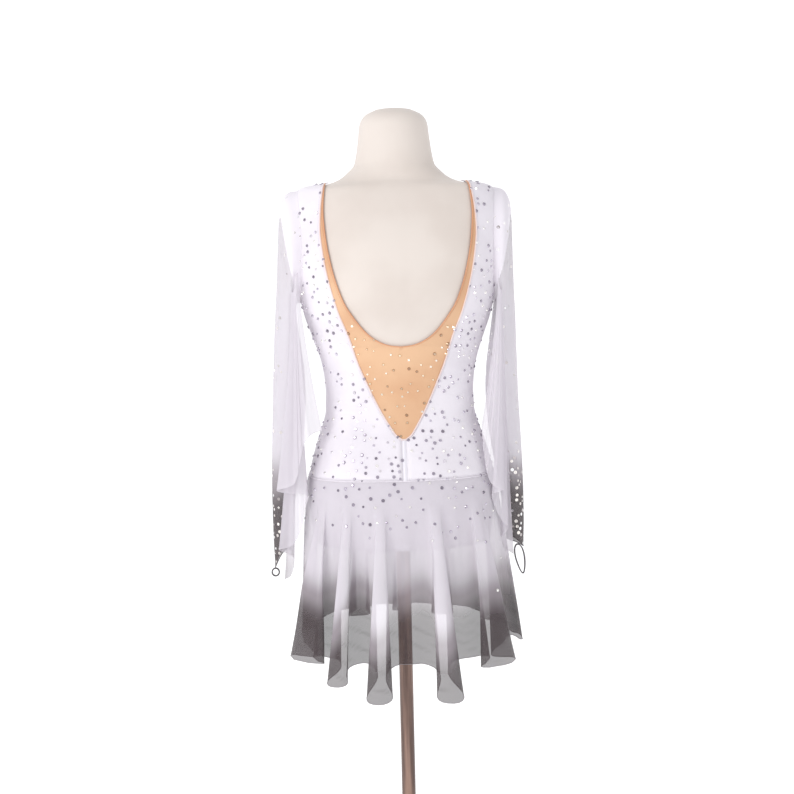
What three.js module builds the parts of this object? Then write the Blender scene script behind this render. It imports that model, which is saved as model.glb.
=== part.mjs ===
// A figure skating dress on a limbless dress form, in millimetres, with +Z up.
// The front of the dress faces -Y, the open back faces +Y, and the wearer's left is +X.
// The origin is the centre of the stand's underside, on the pole's axis.
// Every piece of cloth is a thin wall: a sheet of cells whose corners have an inner and an outer point.
import * as THREE from "three";
import { mergeVertices } from "three/addons/utils/BufferGeometryUtils.js";

// Cloth and seams
const SEAM_GAP = 0.35; // between two pieces that are sewn together
const BODICE = { inner: 1.7, outer: 2.9 }; // the bodice's two faces, measured out from the form
const BODICE_COLUMNS = { back: 6, front: 7, inset: 3 };
const SKIRT_LIFT = 4.1; // the middle of the skirt's wall at its seam, outside the brief
const SHEER_THICK = 1.0; // skirt, sleeves and drapes
const WAIST_SEAM_Z = 664.4; // where bodice, brief and skirt meet
const ZIP = { half: 2.2, ridge: 0.9 }; // half width, and how far its fold stands out of the bodice
const INSET_MIN = 1.6; // the nude inset's least width, at the shoulders

// Back opening and neckline
const V_POINT_Z = 729; // the lowest point of the white V
const U_POINT_Z = 878; // the lowest point of the open back
const NECK_POINT_Z = 1065; // the lowest point of the front scoop
const NECK_CORNER_Z = 1139.6; // where the neckline meets the shoulder seam
const CORNER_WIDTH = 2.4; // the shoulder strap's pointed end

// Armholes
const UNDERARM_Z = 948;
const SHOULDER_Z = 1131;
const ARMHOLE_DIP = 4; // how far the armhole's edge cuts in at mid height
const ARMHOLE_GAP = 0.65; // from the armhole's edge to the middle of the sleeve's wall, inwards and sideways

// Sleeves
const SWING = 6; // the left sleeve hangs this much further out, the right one further in
const SWING_RUN = { from: 1100, over: 300 };
const CUFF_POWER = 2.2; // how sharply the cuff comes to its point

// Skirt
const HEM = { half: 172, back: 130, front: 120, square: 2.2 };
const HEM_Z = { middle: 396, swing: 22 }; // the valleys' hem, higher in front than at the back
const SPREAD_POWER = 0.6; // how fast the skirt springs out over the hips
const FLUTE_START = 0.1; // share of the skirt's length above the flutes
const FOOT_TOP = 0.6; // share of a flute's foot that it starts with
const SLOPE_TURN = 0.02; // steps in radians and in height for reading a surface's slope
const SLOPE_RISE = 1;
const TIP_ROUND = 0.75; // below 1, a flute's tip is blunter
const FLUTE_STEPS = 8;
const VALLEY_STEPS = 4; // the skirt's side seams lie at the middle of a valley

// Brief
const BRIEF = { inner: 1.3, outer: 2.4, columns: 22, rows: [0, 0.2, 0.42, 0.66, 0.85, 1] };
const BRIEF_EDGE = { back: 551, side: 559 };
const GUSSET = { from: 17, to: 62, dip: 543.5, steps: 10, lift: 6 }; // lift: how late its ends turn up

// Stand
const FORM_FLOOR_Z = 562;
const FLOOR_EDGE = [{ up: 0, inset: 9 }, { up: 3, inset: 2.6 }, { up: 9, inset: 0 }]; // its rounding
const FORM_COLUMNS = 34;
const NECK_TOP_Z = 1263;
const POLE = { radius: 11.5, segments: 24 };
const BASE = {
  radius: 165, thick: 22, foot: 2, rim: 7, dome: 1.5, boss: 26, flare: 8, bossTop: 48, bossRim: 4,
  segments: 32,
};

// The form's sections: half width, reach behind and in front of the pole's axis, and squareness
const BODY = [
  { z: 540, half: 137, back: 86, front: 84, square: 2.3 },
  { z: 562, half: 143, back: 95, front: 90, square: 2.3 },
  { z: 600, half: 149.5, back: 105, front: 95, square: 2.3 },
  { z: 640, half: 151.5, back: 109.5, front: 98, square: 2.3 },
  { z: 664, half: 150.3, back: 108, front: 98, square: 2.3 },
  { z: 690, half: 144, back: 103.5, front: 96, square: 2.3 },
  { z: 715, half: 137, back: 97.5, front: 93, square: 2.3 },
  { z: 740, half: 128.5, back: 90.5, front: 90, square: 2.25 },
  { z: 755, half: 123.6, back: 86.6, front: 88.2, square: 2.2 },
  { z: 771, half: 120, back: 83.5, front: 87, square: 2.2 },
  { z: 800, half: 119, back: 80, front: 87, square: 2.2 },
  { z: 825, half: 120.5, back: 80, front: 89, square: 2.2 },
  { z: 850, half: 124.5, back: 82, front: 94, square: 2.2 },
  { z: 877, half: 132.5, back: 86, front: 101, square: 2.2 },
  { z: 901, half: 141, back: 90, front: 108, square: 2.2 },
  { z: 925, half: 149.5, back: 94, front: 115, square: 2.25 },
  { z: 948, half: 155, back: 97, front: 119, square: 2.3 },
  { z: 1000, half: 161.5, back: 100, front: 112, square: 2.35 },
  { z: 1040, half: 165, back: 98, front: 99, square: 2.4 },
  { z: 1080, half: 167.5, back: 90, front: 84, square: 2.4 },
  { z: 1105, half: 167, back: 82, front: 73, square: 2.35 },
  { z: 1120, half: 164, back: 76, front: 68, square: 2.3 },
  { z: 1131, half: 157, back: 71, front: 64, square: 2.25 },
  { z: 1136, half: 144, back: 68, front: 61, square: 2.2 },
  { z: 1140, half: 116, back: 65, front: 59, square: 2.15 },
  { z: 1144, half: 101, back: 62, front: 58, square: 2.1 },
  { z: 1150, half: 88, back: 60, front: 57, square: 2.1 },
  { z: 1158, half: 78, back: 59, front: 56, square: 2.05 },
  { z: 1173, half: 65, back: 57, front: 56, square: 2 },
  { z: 1215, half: 57.7, back: 55.5, front: 55.5, square: 2 },
  { z: 1238, half: 55, back: 53, front: 53, square: 2 },
  { z: 1251, half: 47, back: 45.5, front: 45.5, square: 2 },
  { z: 1260, half: 29, back: 28, front: 28, square: 2 },
];
const BUST = { out: 9, angle: 150, spread: 24, z: 955, tall: 58 };

// Levels at which the bodice's pieces are worked out; its seams share them
const LEVELS = [
  664.8, 690, 713, V_POINT_Z, 735, 746, 763, 786, 812, 845, U_POINT_Z, 886, 898, 922, UNDERARM_Z, 950,
  956, 968, 988, 1014, 1040, NECK_POINT_Z, 1070, 1080, 1095, 1111, 1122, 1127.5, SHOULDER_Z, 1136,
  NECK_CORNER_Z,
];

// The V's edge, the U's edge and the front scoop: half width at each height
const V_EDGE = [
  { z: V_POINT_Z, x: 2.6 }, { z: 735, x: 11 }, { z: 751, x: 21.5 }, { z: 776, x: 35.5 },
  { z: 812, x: 52 }, { z: 855, x: 69.5 }, { z: 892, x: 81 }, { z: 938, x: 99 }, { z: 990, x: 113 },
  { z: 1027, x: 119.5 }, { z: 1067, x: 123.3 }, { z: 1098, x: 121.8 }, { z: 1131, x: 117.3 },
  { z: NECK_CORNER_Z, x: 115 },
];
const U_EDGE = [
  { z: U_POINT_Z, x: 0 }, { z: 880, x: 17 }, { z: 886, x: 33.5 }, { z: 898, x: 51 }, { z: 921, x: 70.5 },
  { z: 953, x: 90 }, { z: 1008, x: 107 }, { z: 1054, x: 114.8 }, { z: 1094, x: 117.6 }, { z: 1131, x: 115 },
  { z: NECK_CORNER_Z, x: 112.8 },
];
const SCOOP = [
  { z: NECK_POINT_Z, x: 0 }, { z: 1070, x: 42 }, { z: 1080, x: 71 }, { z: 1095, x: 93 },
  { z: 1108, x: 104 }, { z: 1125, x: 111.5 }, { z: NECK_CORNER_Z, x: 115 },
];

// A sleeve's rings below its armhole: outer and inner point, half depth and centre from front to back
const SLEEVE = [
  { outX: 166, outZ: 1131.5, inX: 160.5, inZ: 950.5, deep: 50, y: 2 },
  { outX: 176, outZ: 1128.5, inX: 163.5, inZ: 944, deep: 51, y: 2 },
  { outX: 184, outZ: 1119, inX: 163.5, inZ: 930, deep: 49, y: 1 },
  { outX: 188.5, outZ: 1103, inX: 161.5, inZ: 912, deep: 47, y: 0 },
  { outX: 190.5, outZ: 1070, inX: 158, inZ: 890, deep: 44, y: -1 },
  { outX: 192.5, outZ: 1030, inX: 154, inZ: 864, deep: 41.5, y: -2 },
  { outX: 195.5, outZ: 975, inX: 150.5, inZ: 834, deep: 39, y: -3 },
  { outX: 199.5, outZ: 910, inX: 149.5, inZ: 800, deep: 37, y: -4 },
  { outX: 202, outZ: 850, inX: 151, inZ: 764, deep: 35.5, y: -5 },
  { outX: 204, outZ: 790, inX: 154.5, inZ: 728, deep: 34, y: -5 },
  { outX: 206.5, outZ: 730, inX: 160.5, inZ: 690, deep: 32.5, y: -5 },
  { outX: 208.5, outZ: 675, inX: 167.5, inZ: 652, deep: 31, y: -5 },
  { outX: 209.5, outZ: 625, inX: 173, inZ: 614, deep: 29.5, y: -5 },
  { outX: 209.5, outZ: 582, inX: 177, inZ: 580, deep: 28, y: -5 },
];
const CUFF = { outX: 208, inX: 180.5, inZ: 548, deep: 26.5, y: -5 };

// What differs between the two arms
const ARMS = [
  {
    name: "left", side: 1, tipZ: 511,
    loop: { x: 213.5, y: -5, topZ: 510.65, wide: 14, tall: 15, taper: 1, lean: 0 },
  },
  {
    name: "right", side: -1, tipZ: 534,
    loop: { x: 189.5, y: 20, topZ: 542.5, wide: 21, tall: 51, taper: 0.55, lean: 8 },
  },
];
// A finger loop narrows downwards to its taper, and leans outwards
const LOOP = { band: 5, thick: 1.4, steps: 20 };

// The hems of the two sleeve drapes, from the outermost fold near the body to the lowest tier
const DRAPE_HEM = {
  left: [
    { x: 130, y: 67, z: 746 }, { x: 148, y: 73, z: 739 }, { x: 160, y: 74, z: 724 },
    { x: 168, y: 73, z: 690 }, { x: 178, y: 71, z: 660 }, { x: 206, y: 66, z: 650 },
    { x: 184, y: 58, z: 643 }, { x: 156, y: 54, z: 639 }, { x: 160, y: 51, z: 620 },
    { x: 168, y: 49, z: 585 }, { x: 184, y: 47, z: 556 }, { x: 206, y: 45, z: 549 },
    { x: 194, y: 38, z: 542 }, { x: 182, y: 36, z: 534 }, { x: 188, y: 31, z: 503 },
    { x: 198, y: 30, z: 497 },
  ],
  right: [
    { x: 128, y: 66, z: 748 }, { x: 131, y: 72, z: 695 }, { x: 139, y: 75, z: 656 },
    { x: 151, y: 74, z: 644 }, { x: 162, y: 69, z: 641 }, { x: 153, y: 66, z: 637 },
    { x: 143, y: 65, z: 632 }, { x: 149, y: 60, z: 610 }, { x: 158, y: 54, z: 590 },
    { x: 171, y: 47, z: 573 }, { x: 164, y: 42, z: 563 }, { x: 160, y: 38, z: 556 },
    { x: 167, y: 33, z: 538 }, { x: 181, y: 31, z: 527 },
  ],
};
const DRAPE = {
  topZ: 1000, topX: 168, topY: 38.7, squeezeX: 0.16, squeezeY: 0.3, bend: 1.5, slant: 0.35, perPoint: 2,
  rows: [0, 0.15, 0.35, 0.57, 0.79, 1],
};

// The skirt's flutes: place on the valleys' hem, face, half width of the foot, how far the round tip
// swells past its neck, reach and tip height
const FLUTES = [
  { x: 43, face: 1, foot: 27, bulb: 13, out: 67, tipZ: 328 },
  { x: 98, face: 1, foot: 24, bulb: 11, out: 56, tipZ: 350 },
  { x: 142, face: 1, foot: 35, bulb: 30, out: 46, tipZ: 381 },
  { x: 141, face: -1, foot: 28, bulb: 11, out: 27, tipZ: 384 },
  { x: 68, face: -1, foot: 28, bulb: 12, out: 34, tipZ: 392 },
  { x: -3, face: -1, foot: 27, bulb: 10, out: 40, tipZ: 396 },
  { x: -70, face: -1, foot: 28, bulb: 12, out: 32, tipZ: 390 },
  { x: -140, face: -1, foot: 28, bulb: 11, out: 29, tipZ: 386 },
  { x: -171, face: 1, foot: 25, bulb: 10, out: 24, tipZ: 383 },
  { x: -123, face: 1, foot: 40, bulb: 27, out: 48, tipZ: 369 },
  { x: -48, face: 1, foot: 28, bulb: 14, out: 72, tipZ: 327 },
];
const SKIRT_ROWS = [0, 0.07, 0.22, 0.42, 0.62, 0.82, 1];

// Colours as they show on the real dress
const COLOURS = {
  white: 0xf4f1f6, sheer: 0xe6e0ea, nude: 0xe6b48f, smoke: 0x6a6064, jersey: 0xeae2d6, wood: 0x6b4c3c,
};

// A smooth curve through a table's rows that never overshoots them
function curveOf(rows, key, along = "z") {
  const at = rows.map((row) => row[along]);
  const value = rows.map((row) => row[key]);
  const slope = value.slice(1).map((v, i) => (v - value[i]) / (at[i + 1] - at[i]));
  const tangent = value.map((_, i) => {
    if (i === 0) return slope[0];
    if (i === value.length - 1) return slope[i - 1];
    const product = slope[i - 1] * slope[i];
    return product <= 0 ? 0 : (2 * product) / (slope[i - 1] + slope[i]);
  });
  return (t) => {
    const last = at.length - 2;
    const next = at.findIndex((edge) => edge > t) - 1;
    const i = next === -2 ? last : Math.max(next, 0);
    const width = at[i + 1] - at[i];
    const u = THREE.MathUtils.clamp((t - at[i]) / width, 0, 1);
    const u2 = u * u;
    const u3 = u2 * u;
    return (
      (2 * u3 - 3 * u2 + 1) * value[i] + (u3 - 2 * u2 + u) * width * tangent[i] +
      (3 * u2 - 2 * u3) * value[i + 1] + (u3 - u2) * width * tangent[i + 1]
    );
  };
}

const body = {
  half: curveOf(BODY, "half"),
  back: curveOf(BODY, "back"),
  front: curveOf(BODY, "front"),
  square: curveOf(BODY, "square"),
};
const vEdge = curveOf(V_EDGE, "x");
const uEdge = curveOf(U_EDGE, "x");
const scoop = curveOf(SCOOP, "x");

const bell = (t) => Math.exp(-t * t);

// The two soft mounds of the form's front
function bustAt(angle, z) {
  const around = (Math.abs(THREE.MathUtils.radToDeg(angle)) - BUST.angle) / BUST.spread;
  return BUST.out * bell(around) * bell((z - BUST.z) / BUST.tall);
}

// A point of a rounded section. The angle runs from the centre back (0) through the left side (+90 degrees).
function onSection(section, angle, z, extra = 0) {
  const s = Math.sin(angle);
  const c = Math.cos(angle);
  const power = 2 / section.square;
  const reach = c > 0 ? section.back : section.front + extra;
  return new THREE.Vector3(
    section.half * Math.sign(s) * Math.abs(s) ** power,
    reach * Math.sign(c) * Math.abs(c) ** power,
    z,
  );
}

function bodySection(z) {
  return { half: body.half(z), back: body.back(z), front: body.front(z), square: body.square(z) };
}

const wrapped = (angle) => Math.atan2(Math.sin(angle), Math.cos(angle));

function onBody(angle, z) {
  return onSection(bodySection(z), angle, z, bustAt(wrapped(angle), z));
}

// A point moved straight out from the form's surface
function offBody(angle, z, lift) {
  const around = onBody(angle + SLOPE_TURN / 2, z).sub(onBody(angle - SLOPE_TURN / 2, z));
  const up = onBody(angle, z + SLOPE_RISE / 2).sub(onBody(angle, z - SLOPE_RISE / 2));
  const out = up.cross(around).normalize();
  return onBody(angle, z).addScaledVector(out, lift);
}

// The angle at which the back of a section reaches a half width x, or passes a distance y behind the axis
function angleAtX(section, x) {
  return Math.asin(Math.min(x / section.half, 1) ** (section.square / 2));
}

function angleAtY(reach, square, y) {
  return Math.acos((y / reach) ** (square / 2));
}

// Cells of a grid of corners; a closed grid joins its last column to its first
function cellsOf(grid, closed = false) {
  const cells = [];
  for (let r = 0; r + 1 < grid.length; r++) {
    const count = grid[r].length;
    for (let c = 0; c < (closed ? count : count - 1); c++) {
      const d = (c + 1) % count;
      cells.push([grid[r][c], grid[r][d], grid[r + 1][d], grid[r + 1][c]]);
    }
  }
  return cells;
}

const mirrored = (point) => new THREE.Vector3(-point.x, point.y, point.z);

// The same cells on the other side of the dress, still wound the same way
function mirrorCells(cells) {
  return cells.map((cell) =>
    cell.map((corner) => ({ inner: mirrored(corner.inner), outer: mirrored(corner.outer) })).reverse(),
  );
}

// A closed geometry from points and triangles, turned to face outwards
function closedGeometry(points, triangles) {
  let volume = 0;
  for (const [a, b, c] of triangles) {
    volume += points[a].dot(points[b].clone().cross(points[c]));
  }
  const flat = [];
  for (const [a, b, c] of triangles) {
    for (const i of volume > 0 ? [a, b, c] : [a, c, b]) flat.push(...points[i].toArray());
  }
  const geometry = new THREE.BufferGeometry();
  geometry.setAttribute("position", new THREE.Float32BufferAttribute(flat, 3));
  const merged = mergeVertices(geometry, 1e-3);
  merged.computeVertexNormals();
  return merged;
}

// A wall of cloth: both faces of every cell, and a strip round every free edge
function wall(cells) {
  const numbers = new Map();
  const inner = [];
  const outer = [];
  const number = (corner) => {
    const key = [...corner.inner.toArray(), ...corner.outer.toArray()].map((v) => Math.round(v * 500)).join();
    if (!numbers.has(key)) {
      numbers.set(key, inner.length);
      inner.push(corner.inner);
      outer.push(corner.outer);
    }
    return numbers.get(key);
  };
  const loops = cells.map((cell) => cell.map(number));
  const edges = new Set(loops.flatMap((loop) => loop.map((a, i) => `${a},${loop[(i + 1) % 4]}`)));
  const count = inner.length;
  const triangles = [];
  for (const loop of loops) {
    const [a, b, c, d] = loop;
    triangles.push([a + count, b + count, c + count], [a + count, c + count, d + count]);
    triangles.push([a, c, b], [a, d, c]);
    loop.forEach((p, i) => {
      const q = loop[(i + 1) % 4];
      if (p === q || edges.has(`${q},${p}`)) return;
      triangles.push([q + count, p + count, p], [q + count, p, q]);
    });
  }
  const used = triangles.filter(([a, b, c]) => a !== b && b !== c && a !== c);
  return closedGeometry([...inner, ...outer], used);
}

// Corners on both sides of a middle surface, from the surface's own normals
function thicken(grid, thick, closed = false) {
  const near = (row, c, step) => {
    const count = row.length;
    return row[closed ? (c + step + count) % count : THREE.MathUtils.clamp(c + step, 0, count - 1)];
  };
  return grid.map((row, r) =>
    row.map((point, c) => {
      const along = near(row, c, 1).clone().sub(near(row, c, -1));
      const down = grid[Math.min(r + 1, grid.length - 1)][c].clone().sub(grid[Math.max(r - 1, 0)][c]);
      const out = along.cross(down).normalize();
      return {
        inner: point.clone().addScaledVector(out, -thick / 2),
        outer: point.clone().addScaledVector(out, thick / 2),
      };
    }),
  );
}

// A row of corners on the form between two angles
function bodiceRow(z, from, to, columns) {
  const row = [];
  for (let i = 0; i <= columns; i++) {
    const angle = THREE.MathUtils.lerp(from, to, i / columns);
    row.push({ inner: offBody(angle, z, BODICE.inner), outer: offBody(angle, z, BODICE.outer) });
  }
  return row;
}

// The armhole's edge, as a half width of the body at each height
function armholeX(z) {
  const t = (z - UNDERARM_Z) / (SHOULDER_Z - UNDERARM_Z);
  const straight = THREE.MathUtils.lerp(body.half(UNDERARM_Z), body.half(SHOULDER_Z), t);
  return straight - ARMHOLE_DIP * Math.sin(Math.PI * t);
}

const inArmhole = (z) => z > UNDERARM_Z && z < SHOULDER_Z;

// The outer edge of a bodice piece: side seam, then armhole, then shoulder seam
function outerAngle(z, reach) {
  const section = bodySection(z);
  if (inArmhole(z)) return angleAtX(section, armholeX(z));
  return angleAtY(reach, section.square, SEAM_GAP / 2);
}

function bodiceBack(side) {
  const grid = LEVELS.map((z) => {
    const edge = z > V_POINT_Z ? Math.min(vEdge(z), body.half(z) - CORNER_WIDTH) : ZIP.half + SEAM_GAP;
    return bodiceRow(z, angleAtX(bodySection(z), edge), outerAngle(z, body.back(z)), BODICE_COLUMNS.back);
  });
  const cells = cellsOf(grid);
  return wall(side > 0 ? cells : mirrorCells(cells));
}

function bodiceFront() {
  const grid = LEVELS.map((z) => {
    const edge = z > NECK_POINT_Z ? Math.min(scoop(z), body.half(z) - CORNER_WIDTH) : 0;
    const centre = Math.PI - angleAtX(bodySection(z), edge);
    return bodiceRow(z, centre, Math.PI - outerAngle(z, body.front(z)), BODICE_COLUMNS.front);
  });
  const cells = cellsOf(grid);
  return wall([...cells, ...mirrorCells(cells)]);
}

// The nude inset fills the V up to the open U, and runs up both edges to the shoulders
function backInset() {
  const grid = LEVELS.filter((z) => z > V_POINT_Z).map((z) => {
    const section = bodySection(z);
    const outside = Math.min(vEdge(z), section.half - CORNER_WIDTH) - SEAM_GAP;
    const inside = z > U_POINT_Z ? Math.min(uEdge(z), outside - INSET_MIN) : 0;
    return bodiceRow(z, angleAtX(section, inside), angleAtX(section, outside), BODICE_COLUMNS.inset);
  });
  const cells = cellsOf(grid);
  return wall([...cells, ...mirrorCells(cells)]);
}

function backZip() {
  const levels = LEVELS.filter((z) => z < V_POINT_Z).concat(V_POINT_Z - 1);
  const grid = levels.map((z) => {
    const edge = angleAtX(bodySection(z), ZIP.half);
    return [-edge, 0, edge].map((angle) => ({
      inner: offBody(angle, z, BODICE.inner),
      outer: offBody(angle, z, BODICE.outer + (angle === 0 ? ZIP.ridge : 0)),
    }));
  });
  return wall(cellsOf(grid));
}

// Each half of the brief, from the waist seam to a leg edge just below the form
function briefPanel(face) {
  const grid = BRIEF.rows.map((t) => {
    const row = [];
    for (let i = 0; i <= BRIEF.columns; i++) {
      const u = (2 * i) / BRIEF.columns - 1;
      const edgeZ = THREE.MathUtils.lerp(BRIEF_EDGE.back, BRIEF_EDGE.side, u * u);
      const z = THREE.MathUtils.lerp(WAIST_SEAM_Z, edgeZ, t);
      const reach = face > 0 ? body.back(z) : body.front(z);
      const side = angleAtY(reach, body.square(z), SEAM_GAP / 2) * u;
      const angle = face > 0 ? side : Math.PI - side;
      row.push({ inner: offBody(angle, z, BRIEF.inner), outer: offBody(angle, z, BRIEF.outer) });
    }
    return row;
  });
  return wall(cellsOf(grid));
}

// The gusset passes below the form on one side of the pole, from the front's edge to the back's
function briefGusset() {
  const middle = (BRIEF.inner + BRIEF.outer) / 2;
  const thick = BRIEF.outer - BRIEF.inner;
  const centre = (GUSSET.from + GUSSET.to) / 2;
  const top = BRIEF_EDGE.back - SEAM_GAP - thick;
  const angle = angleAtX(bodySection(BRIEF_EDGE.back), centre);
  const back = offBody(angle, BRIEF_EDGE.back, middle).y;
  const front = offBody(Math.PI - angle, BRIEF_EDGE.back, middle).y;
  const grid = [];
  for (let i = 0; i <= GUSSET.steps; i++) {
    const u = (2 * i) / GUSSET.steps - 1;
    const spread = Math.sin((Math.PI / 2) * u);
    const y = THREE.MathUtils.mapLinear(spread, -1, 1, front, back);
    const z = THREE.MathUtils.lerp(GUSSET.dip, top, Math.abs(u) ** GUSSET.lift);
    grid.push([GUSSET.from, centre, GUSSET.to].map((x) => new THREE.Vector3(x, y, z)));
  }
  return wall(cellsOf(thicken(grid, thick)));
}

// The armhole's seam as a ring: down the back of the arm and up its front, just off the bodice's edge
function armholeRing(side) {
  const levels = LEVELS.filter((z) => z >= UNDERARM_Z && z <= SHOULDER_Z).reverse();
  const middleZ = (UNDERARM_Z + SHOULDER_Z) / 2;
  const lift = (BODICE.inner + BODICE.outer) / 2;
  const ring = [];
  const add = (z, face) => {
    const angle = inArmhole(z) ? angleAtX(bodySection(z), armholeX(z)) : Math.PI / 2;
    const point = offBody(face > 0 ? angle : Math.PI - angle, z, lift);
    const inward = new THREE.Vector3(0, -point.y, middleZ - z).setLength(ARMHOLE_GAP);
    point.add(inward).add(new THREE.Vector3(ARMHOLE_GAP, 0, 0));
    const turn = Math.acos((2 * z - SHOULDER_Z - UNDERARM_Z) / (SHOULDER_Z - UNDERARM_Z));
    ring.push({ point: new THREE.Vector3(side * point.x, point.y, point.z), turn: face * turn });
  };
  levels.forEach((z) => add(z, 1));
  levels.slice(1, -1).reverse().forEach((z) => add(z, -1));
  return ring;
}

const swingAt = (z) => SWING * THREE.MathUtils.clamp((SWING_RUN.from - z) / SWING_RUN.over, 0, 1);

function sleeve(arm) {
  const start = armholeRing(arm.side);
  const place = (x, y, z) => new THREE.Vector3(arm.side * x + swingAt(z), y, z);
  const rings = SLEEVE.map((ring) =>
    start.map(({ turn }) => {
      const u = (1 + Math.cos(turn)) / 2;
      const x = THREE.MathUtils.lerp(ring.inX, ring.outX, u);
      const z = THREE.MathUtils.lerp(ring.inZ, ring.outZ, u);
      return place(x, ring.y + ring.deep * Math.sin(turn), z);
    }),
  );
  const cuff = start.map(({ turn }) => {
    const u = (1 + Math.cos(turn)) / 2;
    const x = THREE.MathUtils.lerp(CUFF.inX, CUFF.outX, u);
    const z = THREE.MathUtils.lerp(CUFF.inZ, arm.tipZ, u ** CUFF_POWER);
    return place(x, CUFF.y + CUFF.deep * Math.sin(turn), z);
  });
  const grid = [start.map(({ point }) => point), ...rings, cuff];
  return wall(cellsOf(thicken(grid, SHEER_THICK, true), true));
}

// A small elastic band for the finger, hung from the cuff's edge
function fingerLoop(arm) {
  const { x, y, topZ, wide, tall, taper, lean } = arm.loop;
  const grid = [];
  for (let i = 0; i <= LOOP.steps; i++) {
    const turn = (2 * Math.PI * (i % LOOP.steps)) / LOOP.steps;
    const out = new THREE.Vector3(Math.sin(turn) / wide, 0, Math.cos(turn) / tall).normalize();
    const down = (1 - Math.cos(turn)) / 2;
    const half = (wide / 2 - LOOP.thick / 2) * THREE.MathUtils.lerp(1, taper, down);
    const middle = new THREE.Vector3(
      arm.side * (x + lean * down) + half * Math.sin(turn),
      y,
      topZ - tall / 2 + (tall / 2 - LOOP.thick / 2) * Math.cos(turn),
    );
    grid.push(
      [-1, 1].map((edge) => {
        const point = middle.clone().add(new THREE.Vector3(0, (edge * LOOP.band) / 2, 0));
        return {
          inner: point.clone().addScaledVector(out, -LOOP.thick / 2),
          outer: point.clone().addScaledVector(out, LOOP.thick / 2),
        };
      }),
    );
  }
  return wall(cellsOf(grid));
}

// A drape hangs from the back of the upper sleeve; its folds lie over each other and its hem steps down
function sleeveDrape(arm) {
  const hem = new THREE.CatmullRomCurve3(
    DRAPE_HEM[arm.name].map(({ x, y, z }) => new THREE.Vector3(x, y, z)), false, "centripetal",
  ).getPoints(DRAPE.perPoint * (DRAPE_HEM[arm.name].length - 1));
  const base = hem[hem.length - 1];
  const grid = DRAPE.rows.map((v) =>
    hem.map((foot) => {
      const topX = DRAPE.topX + (foot.x - DRAPE.topX) * DRAPE.squeezeX;
      const topY = DRAPE.topY + (foot.y - base.y) * DRAPE.squeezeY;
      const x = THREE.MathUtils.lerp(topX, foot.x, v ** DRAPE.bend);
      const y = THREE.MathUtils.lerp(topY, foot.y, v);
      const topZ = DRAPE.topZ - DRAPE.slant * (hem[0].z - foot.z);
      return new THREE.Vector3(arm.side * x, y, THREE.MathUtils.lerp(topZ, foot.z, v));
    }),
  );
  return wall(cellsOf(thicken(grid, SHEER_THICK)));
}

// The skirt's plain section at a share of its length, before the flutes
function skirtBase(angle, share, z) {
  const top = offBody(angle, WAIST_SEAM_Z, SKIRT_LIFT);
  const foot = onSection(HEM, angle, z);
  return top.setZ(z).lerp(foot, share ** SPREAD_POWER);
}

// Each flute's place on the skirt: its angle, its direction and the hem's length for a turn
function flutePlaces() {
  return FLUTES.map((flute) => {
    const side = Math.sign(flute.x) * angleAtX(HEM, Math.abs(flute.x));
    const angle = flute.face > 0 ? side : Math.PI - side;
    const step = onSection(HEM, angle + SLOPE_TURN, 0).sub(onSection(HEM, angle - SLOPE_TURN, 0));
    const out = new THREE.Vector3(-step.y, step.x, 0).normalize();
    const turn = (angle + 2 * Math.PI) % (2 * Math.PI);
    const run = step.length() / (2 * SLOPE_TURN);
    return { ...flute, angle: turn, out: out.multiplyScalar(flute.out), run };
  });
}

// The skirt between two flutes' side valleys; the columns follow each flute round its tip
function skirtPanel(first, count) {
  const places = flutePlaces();
  const total = places.length;
  const turnAt = (index) => places[(index + total) % total].angle + 2 * Math.PI * Math.floor(index / total);
  const footAt = (index, v, q) => {
    const place = places[(index + total) % total];
    const grow = Math.max((v - FLUTE_START) / (1 - FLUTE_START), 0);
    const foot = place.foot * THREE.MathUtils.lerp(FOOT_TOP, 1, grow);
    const sideways = foot * q + place.bulb * grow * Math.sin(2 * Math.PI * q);
    return turnAt(index) + sideways / place.run;
  };
  const column = (angle, v, place, q) => {
    const crest = place ? ((1 + Math.cos(Math.PI * q)) / 2) ** TIP_ROUND : 0;
    const valleyZ = HEM_Z.middle - HEM_Z.swing * Math.cos(angle);
    const hemZ = place ? THREE.MathUtils.lerp(valleyZ, place.tipZ, crest) : valleyZ;
    const z = THREE.MathUtils.lerp(WAIST_SEAM_Z, hemZ, v);
    const point = skirtBase(angle, v, z);
    const grow = Math.max((v - FLUTE_START) / (1 - FLUTE_START), 0);
    return place ? point.addScaledVector(place.out, crest * grow) : point;
  };
  const valley = (index, v, share) =>
    THREE.MathUtils.lerp(footAt(index, v, 1), footAt(index + 1, v, -1), share);
  const grid = SKIRT_ROWS.map((v) => {
    const trim = SEAM_GAP / 2 / HEM.back;
    const row = [column(valley(first - 1, v, 0.5) + trim, v)];
    for (let k = VALLEY_STEPS / 2 + 1; k < VALLEY_STEPS; k++) {
      row.push(column(valley(first - 1, v, k / VALLEY_STEPS), v));
    }
    for (let index = first; index < first + count; index++) {
      for (let k = 0; k <= FLUTE_STEPS; k++) {
        const q = (2 * k) / FLUTE_STEPS - 1;
        row.push(column(footAt(index, v, q), v, places[(index + total) % total], q));
      }
      const lastOne = index + 1 === first + count;
      for (let k = 1; k < (lastOne ? VALLEY_STEPS / 2 : VALLEY_STEPS); k++) {
        row.push(column(valley(index, v, k / VALLEY_STEPS), v));
      }
    }
    row.push(column(valley(first + count - 1, v, 0.5) - trim, v));
    return row;
  });
  return wall(cellsOf(thicken(grid, SHEER_THICK)));
}

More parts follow.
